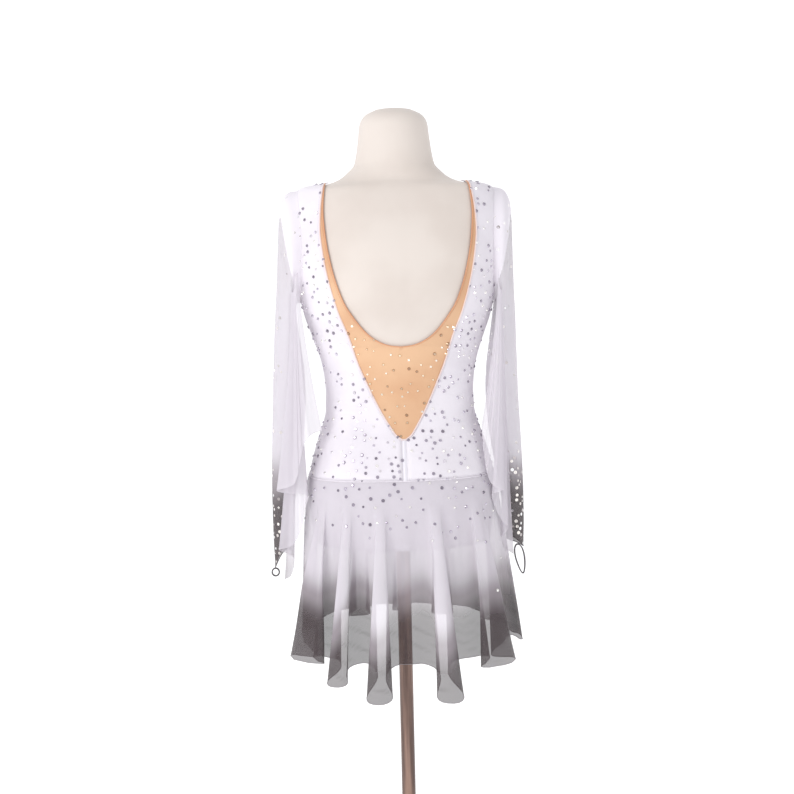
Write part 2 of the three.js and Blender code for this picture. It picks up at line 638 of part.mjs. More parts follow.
// The dress form: one closed body with a flat floor and a rounded neck
function formBody() {
  const columns = FORM_COLUMNS;
  const floor = FLOOR_EDGE.map(({ up, inset }) => ({ z: FORM_FLOOR_Z + up, inset }));
  const upper = BODY.map((row) => row.z).filter((z) => z > floor[floor.length - 1].z);
  const levels = [...floor, ...upper.map((z) => ({ z, inset: 0 }))];
  const points = [];
  levels.forEach(({ z, inset }) => {
    for (let c = 0; c < columns; c++) points.push(offBody((2 * Math.PI * c) / columns, z, -inset).setZ(z));
  });
  const bottom = points.push(new THREE.Vector3(0, 0, FORM_FLOOR_Z)) - 1;
  const top = points.push(new THREE.Vector3(0, 0, NECK_TOP_Z)) - 1;
  const triangles = [];
  const last = (levels.length - 1) * columns;
  for (let c = 0; c < columns; c++) {
    const d = (c + 1) % columns;
    for (let r = 0; r < last; r += columns) {
      triangles.push([r + c, r + columns + c, r + columns + d], [r + c, r + columns + d, r + d]);
    }
    triangles.push([bottom, c, d], [top, last + d, last + c]);
  }
  return closedGeometry(points, triangles);
}

// A turned piece of the stand, from a profile of radii and heights that starts and ends on the axis
function turned(profile, segments) {
  const geometry = new THREE.LatheGeometry(profile.map(([r, z]) => new THREE.Vector2(r, z)), segments);
  geometry.deleteAttribute("normal");
  geometry.deleteAttribute("uv");
  geometry.rotateX(Math.PI / 2);
  return mergeVertices(geometry, 1e-3);
}

function standPole() {
  const top = FORM_FLOOR_Z - SEAM_GAP;
  const bottom = BASE.bossTop + SEAM_GAP;
  return turned([[0, bottom], [POLE.radius, bottom], [POLE.radius, top], [0, top]], POLE.segments);
}

function standBase() {
  const { radius, thick, foot, rim, dome, boss, flare, bossTop, bossRim } = BASE;
  const profile = [
    [0, 0], [radius - foot, 0], [radius, foot], [radius, thick - rim], [radius - rim, thick],
    [boss + flare, thick + dome], [boss, thick + flare], [boss, bossTop - bossRim], [boss - bossRim, bossTop],
    [0, bossTop],
  ];
  return turned(profile, BASE.segments);
}

const dress = new THREE.Group();

function add(name, geometry, colour, roughness, opacity = 1) {
  const material = new THREE.MeshStandardMaterial({
    color: colour, roughness, metalness: 0, opacity, transparent: opacity < 1,
  });
  const mesh = new THREE.Mesh(geometry, material);
  mesh.name = name;
  dress.add(mesh);
}

add("form_body", formBody(), COLOURS.jersey, 0.9);
add("stand_pole", standPole(), COLOURS.wood, 0.5);
add("stand_base", standBase(), COLOURS.wood, 0.5);
add("bodice_front", bodiceFront(), COLOURS.white, 0.7);
add("bodice_back_left", bodiceBack(1), COLOURS.white, 0.7);
add("bodice_back_right", bodiceBack(-1), COLOURS.white, 0.7);
add("back_inset", backInset(), COLOURS.nude, 0.7);
add("back_zip", backZip(), COLOURS.white, 0.6);
for (const arm of ARMS) {
  add(`sleeve_${arm.name}`, sleeve(arm), COLOURS.sheer, 0.7, 0.6);
  add(`sleeve_drape_${arm.name}`, sleeveDrape(arm), COLOURS.sheer, 0.7, 0.6);
  add(`finger_loop_${arm.name}`, fingerLoop(arm), COLOURS.smoke, 0.6);
}
add("skirt_back", skirtPanel(-3, 6), COLOURS.sheer, 0.7, 0.6);
add("skirt_front", skirtPanel(3, 5), COLOURS.sheer, 0.7, 0.6);
add("brief_front", briefPanel(-1), COLOURS.white, 0.7);
add("brief_back", briefPanel(1), COLOURS.white, 0.7);
add("brief_gusset", briefGusset(), COLOURS.white, 0.7);

export default dress;
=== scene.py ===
"""A figure skating dress on a limbless dress form: the looks of every piece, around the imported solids.

Lengths are in millimetres until a mesh is made, and every mesh is in metres in the shared frame: +Z up,
the open back of the dress facing +Y, the wearer's left on +X, the origin under the stand's base.
"""

import logging
import math
from contextlib import contextmanager
from dataclasses import dataclass, field
from enum import Enum
from typing import Callable, Iterator, Optional, Sequence

import bmesh
import bpy
import numpy as np
from mathutils import Matrix, Vector

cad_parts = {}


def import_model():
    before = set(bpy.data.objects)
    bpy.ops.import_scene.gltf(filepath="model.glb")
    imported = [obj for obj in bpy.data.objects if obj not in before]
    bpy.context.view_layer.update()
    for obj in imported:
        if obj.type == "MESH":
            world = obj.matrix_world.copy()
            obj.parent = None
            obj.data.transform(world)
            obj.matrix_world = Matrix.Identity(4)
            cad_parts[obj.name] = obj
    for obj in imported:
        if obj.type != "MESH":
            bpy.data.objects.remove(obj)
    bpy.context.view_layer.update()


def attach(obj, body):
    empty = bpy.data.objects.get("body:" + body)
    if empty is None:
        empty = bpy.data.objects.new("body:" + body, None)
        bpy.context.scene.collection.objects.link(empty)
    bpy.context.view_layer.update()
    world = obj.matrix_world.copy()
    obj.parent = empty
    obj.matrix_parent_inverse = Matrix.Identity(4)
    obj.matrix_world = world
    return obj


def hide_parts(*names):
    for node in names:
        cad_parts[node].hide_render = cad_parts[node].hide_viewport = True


LOG = logging.getLogger("dress")
MM = 0.001
BODY = "root"
Array = np.ndarray


class Face(Enum):
    """The two faces of the dress."""

    BACK = 1
    FRONT = -1


class Side(Enum):
    """The wearer's two sides."""

    LEFT = 1
    RIGHT = -1


class Held(Enum):
    STRETCHED = "stretched"
    GATHERED = "gathered"
    HUNG = "hung"


def smoothstep(low: float, high: float, value: Array) -> Array:
    """Rise smoothly from 0 at low to 1 at high; low may be the greater of the two.

    Args:
        low: the value that gives 0.
        high: the value that gives 1.
        value: where to look.

    Returns:
        The share, between 0 and 1.
    """
    t = np.clip((value - low) / (high - low), 0.0, 1.0)
    return t * t * (3.0 - 2.0 * t)


def bell(value: Array) -> Array:
    """Give a soft round hill, 1 at 0."""
    return np.exp(-value * value)


def mix(a: Array, b: Array, share: Array) -> Array:
    """Blend from a to b by a share."""
    return a + (b - a) * share


def cubic(at: Array, values: Array, slopes: Array, place: Array) -> Array:
    """Pass cubic pieces through values with given slopes.

    Args:
        at: the values' places, rising.
        values: what the curve reaches there.
        slopes: its slopes there.
        place: where to read it; beyond the ends it keeps their values.

    Returns:
        The curve at each place.
    """
    i = np.clip(np.searchsorted(at, place, side="right") - 1, 0, len(at) - 2)
    width = at[i + 1] - at[i]
    u = np.clip((place - at[i]) / width, 0.0, 1.0)
    u2 = u * u
    u3 = u2 * u
    rise = (u3 - 2 * u2 + u) * width * slopes[i] + (u3 - u2) * width * slopes[i + 1]
    return (2 * u3 - 3 * u2 + 1) * values[i] + (3 * u2 - 2 * u3) * values[i + 1] + rise


def link_object(name: str, data: bpy.types.ID) -> bpy.types.Object:
    """Put a new object into the scene.

    Args:
        name: the object's name.
        data: its mesh, light or camera.

    Returns:
        The object.
    """
    made = bpy.data.objects.new(name, data)
    bpy.context.scene.collection.objects.link(made)
    return made


@contextmanager
def edited(mesh: bpy.types.Mesh) -> Iterator[bmesh.types.BMesh]:
    """Open a mesh for changes and write them back.

    Args:
        mesh: the mesh to change.

    Yields:
        The mesh as Blender's editable kind.
    """
    work = bmesh.new()
    work.from_mesh(mesh)
    yield work
    work.to_mesh(mesh)
    work.free()


class SmoothTable:
    """A smooth curve through a table's rows that never overshoots them."""

    def __init__(self, at: Sequence[float], values: Sequence[float]) -> None:
        """Work out the slopes at the rows.

        Args:
            at: the rows' places, rising.
            values: the rows' values.
        """
        self.at = np.array(at, float)
        self.values = np.array(values, float)
        slope = np.diff(self.values) / np.diff(self.at)
        inner = np.zeros(len(slope) - 1)
        rising = slope[:-1] * slope[1:] > 0
        total = np.where(rising, slope[:-1] + slope[1:], 1.0)
        inner[rising] = (2 * slope[:-1] * slope[1:] / total)[rising]
        self.tangent = np.concatenate([[slope[0]], inner, [slope[-1]]])

    def __call__(self, place: Array) -> Array:
        """Read the curve at one place or at many."""
        return cubic(self.at, self.values, self.tangent, np.asarray(place, float))


@dataclass(frozen=True)
class Section:
    """A level section of the form: half width, reach behind and in front, and squareness."""

    z: float
    half: float
    back: float
    front: float
    square: float


BODY_SECTIONS = [Section(*row) for row in (
    (540, 137, 86, 84, 2.3), (562, 143, 95, 90, 2.3), (600, 149.5, 105, 95, 2.3),
    (640, 151.5, 109.5, 98, 2.3), (664, 150.3, 108, 98, 2.3), (690, 144, 103.5, 96, 2.3),
    (715, 137, 97.5, 93, 2.3), (740, 128.5, 90.5, 90, 2.25), (755, 123.6, 86.6, 88.2, 2.2),
    (771, 120, 83.5, 87, 2.2), (800, 119, 80, 87, 2.2), (825, 120.5, 80, 89, 2.2),
    (850, 124.5, 82, 94, 2.2), (877, 132.5, 86, 101, 2.2), (901, 141, 90, 108, 2.2),
    (925, 149.5, 94, 115, 2.25), (948, 155, 97, 119, 2.3), (1000, 161.5, 100, 112, 2.35),
    (1040, 165, 98, 99, 2.4), (1080, 167.5, 90, 84, 2.4), (1105, 167, 82, 73, 2.35),
    (1120, 164, 76, 68, 2.3), (1131, 157, 71, 64, 2.25), (1136, 144, 68, 61, 2.2),
    (1140, 116, 65, 59, 2.15), (1144, 101, 62, 58, 2.1), (1150, 88, 60, 57, 2.1),
    (1158, 78, 59, 56, 2.05), (1173, 65, 57, 56, 2), (1215, 57.7, 55.5, 55.5, 2),
    (1238, 55, 53, 53, 2), (1251, 47, 45.5, 45.5, 2), (1260, 29, 28, 28, 2),
)]
HEM_SECTION = Section(374, 172, 130, 120, 2.2)


@dataclass
class FormShape:
    """The form's surface, which the dress follows at a lift."""

    bust_out: float = 9.0
    bust_angle: float = 150.0
    bust_spread: float = 24.0
    bust_z: float = 955.0
    bust_tall: float = 58.0
    tables: dict[str, SmoothTable] = field(default_factory=dict)

    def __post_init__(self) -> None:
        """Make one smooth table for each column of the sections."""
        at = [row.z for row in BODY_SECTIONS]
        for key in ("half", "back", "front", "square"):
            self.tables[key] = SmoothTable(at, [getattr(row, key) for row in BODY_SECTIONS])

    def read(self, key: str, z: Array) -> Array:
        """Read one measure of the sections at a height."""
        return self.tables[key](z)

    def point(self, angle: Array, z: Array) -> Array:
        """Give points of the surface.

        Args:
            angle: from the centre back (0) through the wearer's left side (+90 degrees), in radians.
            z: heights.

        Returns:
            Points, with x, y and z last.
        """
        angle, z = np.broadcast_arrays(np.asarray(angle, float), np.asarray(z, float))
        s, c = np.sin(angle), np.cos(angle)
        round_on = np.abs(np.degrees(np.arctan2(s, c)))
        bust = self.bust_out * bell((round_on - self.bust_angle) / self.bust_spread)
        bust = bust * bell((z - self.bust_z) / self.bust_tall)
        reach = np.where(c > 0, self.read("back", z), self.read("front", z) + bust)
        power = 2.0 / self.read("square", z)
        x = self.read("half", z) * np.sign(s) * np.abs(s) ** power
        return np.stack([x, reach * np.sign(c) * np.abs(c) ** power, z], axis=-1)

    def lifted(self, angle: Array, z: Array, lift: Array) -> Array:
        """Give points moved straight out from the surface by a lift."""
        around = self.point(angle + 0.01, z) - self.point(angle - 0.01, z)
        up = self.point(angle, z + 0.5) - self.point(angle, z - 0.5)
        out = np.cross(up, around)
        out /= np.linalg.norm(out, axis=-1, keepdims=True)
        return self.point(angle, z) + out * np.asarray(lift, float)[..., None]

    def angle_at_x(self, z: Array, x: Array) -> Array:
        """Find the angle on the back at which a section reaches a half width."""
        return np.arcsin(np.minimum(x / self.read("half", z), 1.0) ** (self.read("square", z) / 2))

    def angle_at_y(self, z: Array, y: float, face: Face) -> Array:
        """Find the angle at which a face of a section is a small distance from the side seam."""
        reach = self.read("back" if face is Face.BACK else "front", z)
        return np.arccos((y / reach) ** (self.read("square", z) / 2))


def on_section(section: Section, angle: Array, z: Array) -> Array:
    """Give points of one rounded section at any heights."""
    s, c = np.sin(angle), np.cos(angle)
    reach = np.where(c > 0, section.back, section.front)
    power = 2.0 / section.square
    x = section.half * np.sign(s) * np.abs(s) ** power
    return np.stack(np.broadcast_arrays(x, reach * np.sign(c) * np.abs(c) ** power, z), axis=-1)


class ClothMesh:
    """A mesh gathered from grids of points, with named values at its points."""

    def __init__(self) -> None:
        """Start empty."""
        self.points: list[Array] = []
        self.faces: list[tuple[int, ...]] = []
        self.values: dict[str, list[Array]] = {}
        self.count = 0

    def add_grid(
        self, grid: Array, values: dict[str, Array], flip: bool = False, closed: bool = False
    ) -> None:
        """Add a grid of points as quads.

        Args:
            grid: points in millimetres, as rows, columns and x, y, z.
            values: named values for every point, each as rows and columns or as one number.
            flip: turn the faces round.
            closed: join the last column to the first.
        """
        rows, columns = grid.shape[:2]
        steps = columns if closed else columns - 1
        for r in range(rows - 1):
            for c in range(steps):
                a = self.count + r * columns + c
                b = self.count + r * columns + (c + 1) % columns
                quad = (a, b, b + columns, a + columns)
                self.faces.append(quad[::-1] if flip else quad)
        self.points.append(grid.reshape(-1, 3) * MM)
        for name, value in {**values, **thread_places(grid)}.items():
            filled = np.broadcast_to(np.asarray(value, float), (rows, columns)).reshape(-1)
            self.values.setdefault(name, []).append(filled)
        self.count += rows * columns

    def make(self, name: str, finish: "Finish") -> bpy.types.Object:
        """Make the object, with its doubles merged and its shading smooth.

        Args:
            name: the piece's name.
            finish: the finish that it is dressed with.

        Returns:
            The new object, at the origin.
        """
        mesh = bpy.data.meshes.new(name)
        mesh.from_pydata(np.concatenate(self.points).tolist(), [], self.faces)
        for key, parts in self.values.items():
            layer = mesh.attributes.new(key, "FLOAT", "POINT")
            layer.data.foreach_set("value", np.concatenate(parts).astype(np.float32))
        with edited(mesh) as work:
            bmesh.ops.remove_doubles(work, verts=work.verts, dist=2e-6)
        mesh.polygons.foreach_set("use_smooth", [True] * len(mesh.polygons))
        mesh.materials.append(finish.material())
        return link_object(name, mesh)


def thread_places(grid: Array) -> dict[str, Array]:
    """Measure how far along the cloth each point lies, across and down, in millimetres."""
    across = np.linalg.norm(np.diff(grid, axis=1), axis=-1)
    down = np.linalg.norm(np.diff(grid, axis=0), axis=-1)
    u = np.concatenate([np.zeros((grid.shape[0], 1)), np.cumsum(across, axis=1)], axis=1)
    v = np.concatenate([np.zeros((1, grid.shape[1])), np.cumsum(down, axis=0)], axis=0)
    return {"thread_u": u - u.mean(axis=1, keepdims=True), "thread_v": v}


def mirrored(grid: Array) -> Array:
    """Give the same grid on the other side of the dress."""
    return grid * np.array([-1.0, 1.0, 1.0])


class NodeBook:
    """A short hand for building a material's nodes."""

    def __init__(self, name: str) -> None:
        """Start a material with one principled shader.

        Args:
            name: the material's name.
        """
        self.material = bpy.data.materials.new(name)
        self.material.use_nodes = True
        self.tree = self.material.node_tree
        self.tree.nodes.clear()
        self.shader = self.node("ShaderNodeBsdfPrincipled")
        output = self.node("ShaderNodeOutputMaterial")
        self.link(self.shader.outputs["BSDF"], output.inputs["Surface"])

    def node(self, kind: str, **settings: object) -> bpy.types.Node:
        """Add a node and set its properties."""
        made = self.tree.nodes.new(kind)
        for key, value in settings.items():
            setattr(made, key, value)
        return made

    def link(self, out: bpy.types.NodeSocket, into: bpy.types.NodeSocket) -> None:
        """Join two sockets."""
        self.tree.links.new(out, into)

    def attribute(self, name: str) -> bpy.types.NodeSocket:
        """Read a named value of the mesh."""
        return self.node("ShaderNodeAttribute", attribute_name=name).outputs["Fac"]

    def math(self, operation: str, a: object, b: object = 0.0) -> bpy.types.NodeSocket:
        """Add a sum of two sockets or numbers.

        Args:
            operation: Blender's name of the sum.
            a: a socket or a number.
            b: a socket or a number.

        Returns:
            The result's socket.
        """
        made = self.node("ShaderNodeMath", operation=operation)
        for socket, value in zip(made.inputs, (a, b)):
            if isinstance(value, bpy.types.NodeSocket):
                self.link(value, socket)
            else:
                socket.default_value = value
        return made.outputs["Value"]

    def ramp(
        self, place: bpy.types.NodeSocket, stops: Sequence[tuple[float, tuple[float, ...]]]
    ) -> bpy.types.Node:
        """Add a colour ramp with given stops."""
        made = self.node("ShaderNodeValToRGB")
        made.color_ramp.interpolation = "EASE"
        stop_list = made.color_ramp.elements
        while len(stop_list) < len(stops):
            stop_list.new(0.5)
        for stop, (at, colour) in zip(stop_list, stops):
            stop.position = at
            stop.color = (*colour, 1.0)
        self.link(place, made.inputs["Fac"])
        return made

    def noise(self, scale: float, detail: float = 2.0) -> bpy.types.NodeSocket:
        """Add a noise in object coordinates, with its scale per metre."""
        made = self.node("ShaderNodeTexNoise")
        made.inputs["Scale"].default_value = scale
        made.inputs["Detail"].default_value = detail
        self.link(self.node("ShaderNodeTexCoord").outputs["Object"], made.inputs["Vector"])
        return made.outputs["Fac"]

    def bump(self, height: bpy.types.NodeSocket, strength: float, distance: float) -> None:
        """Roughen the shader by a height in metres."""
        made = self.node("ShaderNodeBump")
        made.inputs["Strength"].default_value = strength
        made.inputs["Distance"].default_value = distance
        self.link(height, made.inputs["Height"])
        self.link(made.outputs["Normal"], self.shader.inputs["Normal"])

    def stitches(self, wide: float, tall: float) -> bpy.types.NodeSocket:
        """Give a knit's columns and rows as a height, from the cloth's own thread places.

        Args:
            wide: millimetres from one column to the next.
            tall: millimetres from one row to the next.

        Returns:
            The height's socket.
        """
        u = self.math("MULTIPLY", self.attribute("thread_u"), 2 * math.pi / wide)
        v = self.math("MULTIPLY", self.attribute("thread_v"), 2 * math.pi / tall)
        return self.math("MULTIPLY", self.math("SINE", u), self.math("SINE", v))


Colour = tuple[float, float, float]


@dataclass(frozen=True)
class Finish:
    """What all finishes share: a material made once and a slot of the record."""

    name: str
    slot: str

    def material(self) -> bpy.types.Material:
        """Give the finish's material, made the first time."""
        found = bpy.data.materials.get(self.name)
        return found if found else self.build()

    def build(self) -> bpy.types.Material:
        """Make the material."""
        raise NotImplementedError


@dataclass(frozen=True)
class Knit(Finish):
    """An opaque stretch knit or jersey with fine stitches, a soft sheen and a little unevenness."""

    colour: Colour = (0.9, 0.9, 0.9)
    shade: Colour = (0.8, 0.8, 0.8)
    stitch: tuple[float, float] = (1.3, 1.1)
    roughness: float = 0.62
    sheen: float = 0.35
    relief: float = 0.25

    def build(self) -> bpy.types.Material:
        """Make the material."""
        book = NodeBook(self.name)
        book.link(book.ramp(book.noise(9.0, 3.0), [(0.3, self.shade), (0.62, self.colour)]).outputs["Color"],
                  book.shader.inputs["Base Color"])
        book.shader.inputs["Roughness"].default_value = self.roughness
        book.shader.inputs["Sheen Weight"].default_value = self.sheen
        book.shader.inputs["Sheen Roughness"].default_value = 0.4
        book.bump(book.stitches(*self.stitch), self.relief, 0.0002)
        return book.material


@dataclass(frozen=True)
class Sheer(Finish):
    """A see-through cloth that is dyed from pale to dark along the value named dye; the value named crest
    adds cover as painted light: painted highlights on the flutes' lit halves and painted shade in crinkle
    lines.
    """

    pale: Colour = (0.74, 0.695, 0.75)
    middle: Colour = (0.36, 0.32, 0.345)
    dark: Colour = (0.085, 0.066, 0.07)
    cover_pale: float = 0.55
    cover_dark: float = 0.56
    # cover added by the crest value's painted highlights and painted crinkle shade
    painted_light_cover: float = 0.3
    lining: Colour = (0.85, 0.805, 0.86)
    sheen: float = 0.08
    threads: tuple[float, float] = (1.0, 1.0)

    def build(self) -> bpy.types.Material:
        """Make the material."""
        book = NodeBook(self.name)
        patchy = book.math("MULTIPLY", book.math("SUBTRACT", book.noise(14.0, 3.0), 0.5), 0.22)
        dye = book.attribute("dye")
        edge = book.math("MULTIPLY", dye, book.math("SUBTRACT", 1.0, dye))
        place = book.math("ADD", dye, book.math("MULTIPLY", edge, book.math("MULTIPLY", patchy, 4.0)))
        colours = [(0.0, self.pale), (0.5, self.middle), (1.0, self.dark)]
        blend = book.node("ShaderNodeMix", data_type="RGBA")
        book.link(book.attribute("lining"), blend.inputs["Factor"])
        book.link(book.ramp(place, colours).outputs["Color"], blend.inputs[6])
        blend.inputs[7].default_value = (*self.lining, 1.0)
        book.link(blend.outputs[2], book.shader.inputs["Base Color"])
        denser = book.math("MULTIPLY", dye, self.cover_dark - self.cover_pale)
        cover = book.math("ADD", denser, self.cover_pale)
        # painted light: extra cover from the crest value, for painted highlights on lit flute halves and
        # painted shade in crinkle lines
        painted_light = book.math("MULTIPLY", book.attribute("crest"), self.painted_light_cover)
        whole = book.math("ADD", cover, painted_light)
        lined = book.math("MAXIMUM", whole, book.attribute("lining"))
        lined.node.use_clamp = True
        book.link(lined, book.shader.inputs["Alpha"])
        book.shader.inputs["Roughness"].default_value = 0.6
        book.shader.inputs["Sheen Weight"].default_value = self.sheen
        book.shader.inputs["Sheen Roughness"].default_value = 0.35
        book.shader.inputs["Specular IOR Level"].default_value = 0.2
        book.bump(book.stitches(*self.threads), 0.1, 0.00012)
        return book.material


@dataclass(frozen=True)
class Wood(Finish):
    """Dark stained wood with long grain along Z or across the base."""

    dark: Colour = (0.11, 0.058, 0.044)
    light: Colour = (0.38, 0.235, 0.18)
    grain: tuple[float, float, float] = (90.0, 90.0, 5.0)

    def build(self) -> bpy.types.Material:
        """Make the material."""
        book = NodeBook(self.name)
        mapping = book.node("ShaderNodeMapping")
        mapping.inputs["Scale"].default_value = self.grain
        book.link(book.node("ShaderNodeTexCoord").outputs["Object"], mapping.inputs["Vector"])
        noise = book.node("ShaderNodeTexNoise")
        noise.inputs["Scale"].default_value = 1.0
        noise.inputs["Detail"].default_value = 5.0
        book.link(mapping.outputs["Vector"], noise.inputs["Vector"])
        ramp = book.ramp(noise.outputs["Fac"], [(0.35, self.dark), (0.68, self.light)])
        book.link(ramp.outputs["Color"], book.shader.inputs["Base Color"])
        book.shader.inputs["Roughness"].default_value = 0.42
        book.shader.inputs["Coat Weight"].default_value = 0.15
        book.bump(noise.outputs["Fac"], 0.2, 0.0004)
        return book.material


@dataclass(frozen=True)
class Crystal(Finish):
    """Foil-backed stones, each with a tone of its own between the darkest and the brightest."""

    tones: tuple[Colour, Colour, Colour, Colour] = (
        (0.26, 0.23, 0.28), (0.42, 0.38, 0.45), (0.66, 0.62, 0.7), (1.0, 0.98, 0.94))

    def build(self) -> bpy.types.Material:
        """Make the material."""
        book = NodeBook(self.name)
        stops = list(zip((0.0, 0.34, 0.66, 0.9), self.tones))
        book.link(book.ramp(book.attribute("tone"), stops).outputs["Color"], book.shader.inputs["Base Color"])
        book.shader.inputs["Metallic"].default_value = 0.8
        book.shader.inputs["Roughness"].default_value = 0.15
        book.shader.inputs["Coat Weight"].default_value = 0.6
        return book.material


@dataclass(frozen=True)
class Backdrop(Finish):
    """The plain pale floor."""

    def build(self) -> bpy.types.Material:
        """Make the material."""
        book = NodeBook(self.name)
        book.shader.inputs["Base Color"].default_value = (0.95, 0.95, 0.95, 1.0)
        book.shader.inputs["Roughness"].default_value = 0.9
        book.shader.inputs["Emission Color"].default_value = (1.0, 1.0, 1.0, 1.0)
        book.shader.inputs["Emission Strength"].default_value = 0.3
        return book.material


WHITE_KNIT = Knit("white_stretch_knit", "white_knit", (0.86, 0.815, 0.87), (0.78, 0.735, 0.79))
NUDE_MESH = Knit(
    "nude_stretch_mesh", "nude_mesh", (0.79, 0.5, 0.305), (0.7, 0.4, 0.23), (1.6, 1.6), 0.7, 0.2, 0.5)
ZIP_TAPE = Knit("zip_tape_weave", "zip_tape", (0.84, 0.81, 0.87), (0.76, 0.73, 0.8), (0.9, 0.9), 0.55)
JERSEY = Knit(
    "cream_jersey", "form_jersey", (0.76, 0.685, 0.63), (0.71, 0.63, 0.575), (1.5, 1.2), 0.85, 0.3, 0.3)
PIPING = Knit("blush_piping", "white_knit", (0.86, 0.72, 0.7), (0.8, 0.64, 0.62), (0.8, 0.8), 0.55)
NUDE_EDGE = Knit("nude_binding", "nude_mesh", (0.72, 0.36, 0.2), (0.64, 0.3, 0.16), (0.8, 0.8), 0.6)
SLEEVE_MESH = Sheer("sleeve_mesh", "sheer_sleeve", cover_pale=0.64, cover_dark=0.76)
DRAPE_CHIFFON = Sheer("drape_chiffon", "sheer_drape", cover_pale=0.68, cover_dark=0.68)
SKIRT_CHIFFON = Sheer("skirt_chiffon", "sheer_skirt", cover_pale=0.66, cover_dark=0.72)
LOOP_ELASTIC = Knit("grey_elastic", "loop_elastic", (0.13, 0.11, 0.12), (0.09, 0.08, 0.085), (0.8, 0.8), 0.6)
HEM_ROLL = Knit("rolled_hem", "sheer_skirt", (0.33, 0.3, 0.31), (0.26, 0.235, 0.245), (0.8, 0.8), 0.7)
THREAD = Knit("white_thread", "white_knit", (0.78, 0.75, 0.8), (0.7, 0.67, 0.72), (0.4, 0.4), 0.5)
POLE_WOOD = Wood("stained_pole", "stand_wood")
BASE_WOOD = Wood("stained_base", "stand_wood", (0.07, 0.038, 0.03), (0.2, 0.12, 0.09), (160.0, 9.0, 160.0))
STONE = Crystal("foiled_crystal", "white_knit")
WARM_STONE = Crystal("champagne_crystal", "nude_mesh", (
    (0.4, 0.26, 0.17), (0.85, 0.7, 0.52), (1.0, 0.9, 0.75), (1.0, 0.97, 0.9)))
BRIGHT_STONE = Crystal("bright_crystal", "sheer_sleeve", (
    (0.5, 0.45, 0.45), (0.85, 0.8, 0.76), (1.0, 0.95, 0.9), (1.0, 1.0, 1.0)))


def place_on_stand(piece: bpy.types.Object, finish: Finish, *nodes: str) -> None:
    """Tell the frame what a piece rides on and which solids it stands for.

    Args:
        piece: the finished object.
        finish: not used.
        nodes: solids that it replaces.
    """
    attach(piece, BODY)
    if nodes:
        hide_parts(*nodes)
    LOG.info("%s: %d faces", piece.name, len(piece.data.polygons))


def thicken(piece: bpy.types.Object, thick: float) -> None:
    """Give a sheet its thickness on the inside, in millimetres."""
    modifier = piece.modifiers.new("thickness", "SOLIDIFY")
    modifier.thickness = thick * MM
    modifier.offset = -1.0


def tube(
    name: str, path: Array, radius: float, finish: Finish, sides: int, closed: bool
) -> bpy.types.Object:
    """Make a round trim along a path.

    Args:
        name: the piece's name.
        path: points in millimetres.
        radius: the trim's radius in millimetres.
        finish: its finish.
        sides: how many sides its section has.
        closed: join the end to the start.

    Returns:
        The new object.
    """
    along = np.roll(path, -1, axis=0) - np.roll(path, 1, axis=0) if closed else np.gradient(path, axis=0)
    along /= np.linalg.norm(along, axis=1, keepdims=True)
    helper = np.where(np.abs(along[:, 2:3]) < 0.9, [[0.0, 0.0, 1.0]], [[0.0, 1.0, 0.0]])
    first = np.cross(along, helper)
    first /= np.linalg.norm(first, axis=1, keepdims=True)
    second = np.cross(along, first)
    turn = np.linspace(0, 2 * np.pi, sides, endpoint=False)
    ring = first[:, None] * np.cos(turn)[None, :, None] + second[:, None] * np.sin(turn)[None, :, None]
    grid = path[:, None] + radius * ring
    cloth = ClothMesh()
    if closed:
        grid = np.concatenate([grid, grid[:1]])
    cloth.add_grid(grid, {}, closed=True, flip=True)
    made = cloth.make(name, finish)
    if not closed:
        close_ends(made.data)
    return made


def trim(name: str, path: Array, radius: float, finish: Finish, sides: int = 8, closed: bool = False) -> None:
    """Make a round trim along a path and place it on the stand."""
    place_on_stand(tube(name, path, radius, finish, sides, closed), finish)


def close_ends(mesh: bpy.types.Mesh) -> None:
    """Fill a mesh's open ends."""
    with edited(mesh) as work:
        bmesh.ops.holes_fill(work, edges=[e for e in work.edges if e.is_boundary])


def start_tree(name: str, **inputs: str) -> tuple[bpy.types.NodeTree, bpy.types.Node]:
    """Start a Geometry Nodes tree that takes a mesh and named inputs.

    Args:
        name: the tree's name.
        inputs: the kind of socket of each input, by its name.

    Returns:
        The tree and its input node.
    """
    tree = bpy.data.node_groups.new(name, "GeometryNodeTree")
    tree.interface.new_socket("Geometry", in_out="INPUT", socket_type="NodeSocketGeometry")
    for key, kind in inputs.items():
        tree.interface.new_socket(key, in_out="INPUT", socket_type=f"NodeSocket{kind}")
    tree.interface.new_socket("Geometry", in_out="OUTPUT", socket_type="NodeSocketGeometry")
    return tree, tree.nodes.new("NodeGroupInput")


def end_tree(tree: bpy.types.NodeTree, inputs: bpy.types.Node, instances: bpy.types.NodeSocket) -> None:
    """Realize a tree's instances, give them their material and send them out.

    Args:
        tree: the tree.
        inputs: its input node, whose input named Finish is the material.
        instances: the socket that gives the instances.
    """
    realize = tree.nodes.new("GeometryNodeRealizeInstances")
    dress = tree.nodes.new("GeometryNodeSetMaterial")
    outputs = tree.nodes.new("NodeGroupOutput")
    tree.links.new(instances, realize.inputs["Geometry"])
    tree.links.new(realize.outputs["Geometry"], dress.inputs["Geometry"])
    tree.links.new(inputs.outputs["Finish"], dress.inputs["Material"])
    tree.links.new(dress.outputs["Geometry"], outputs.inputs["Geometry"])


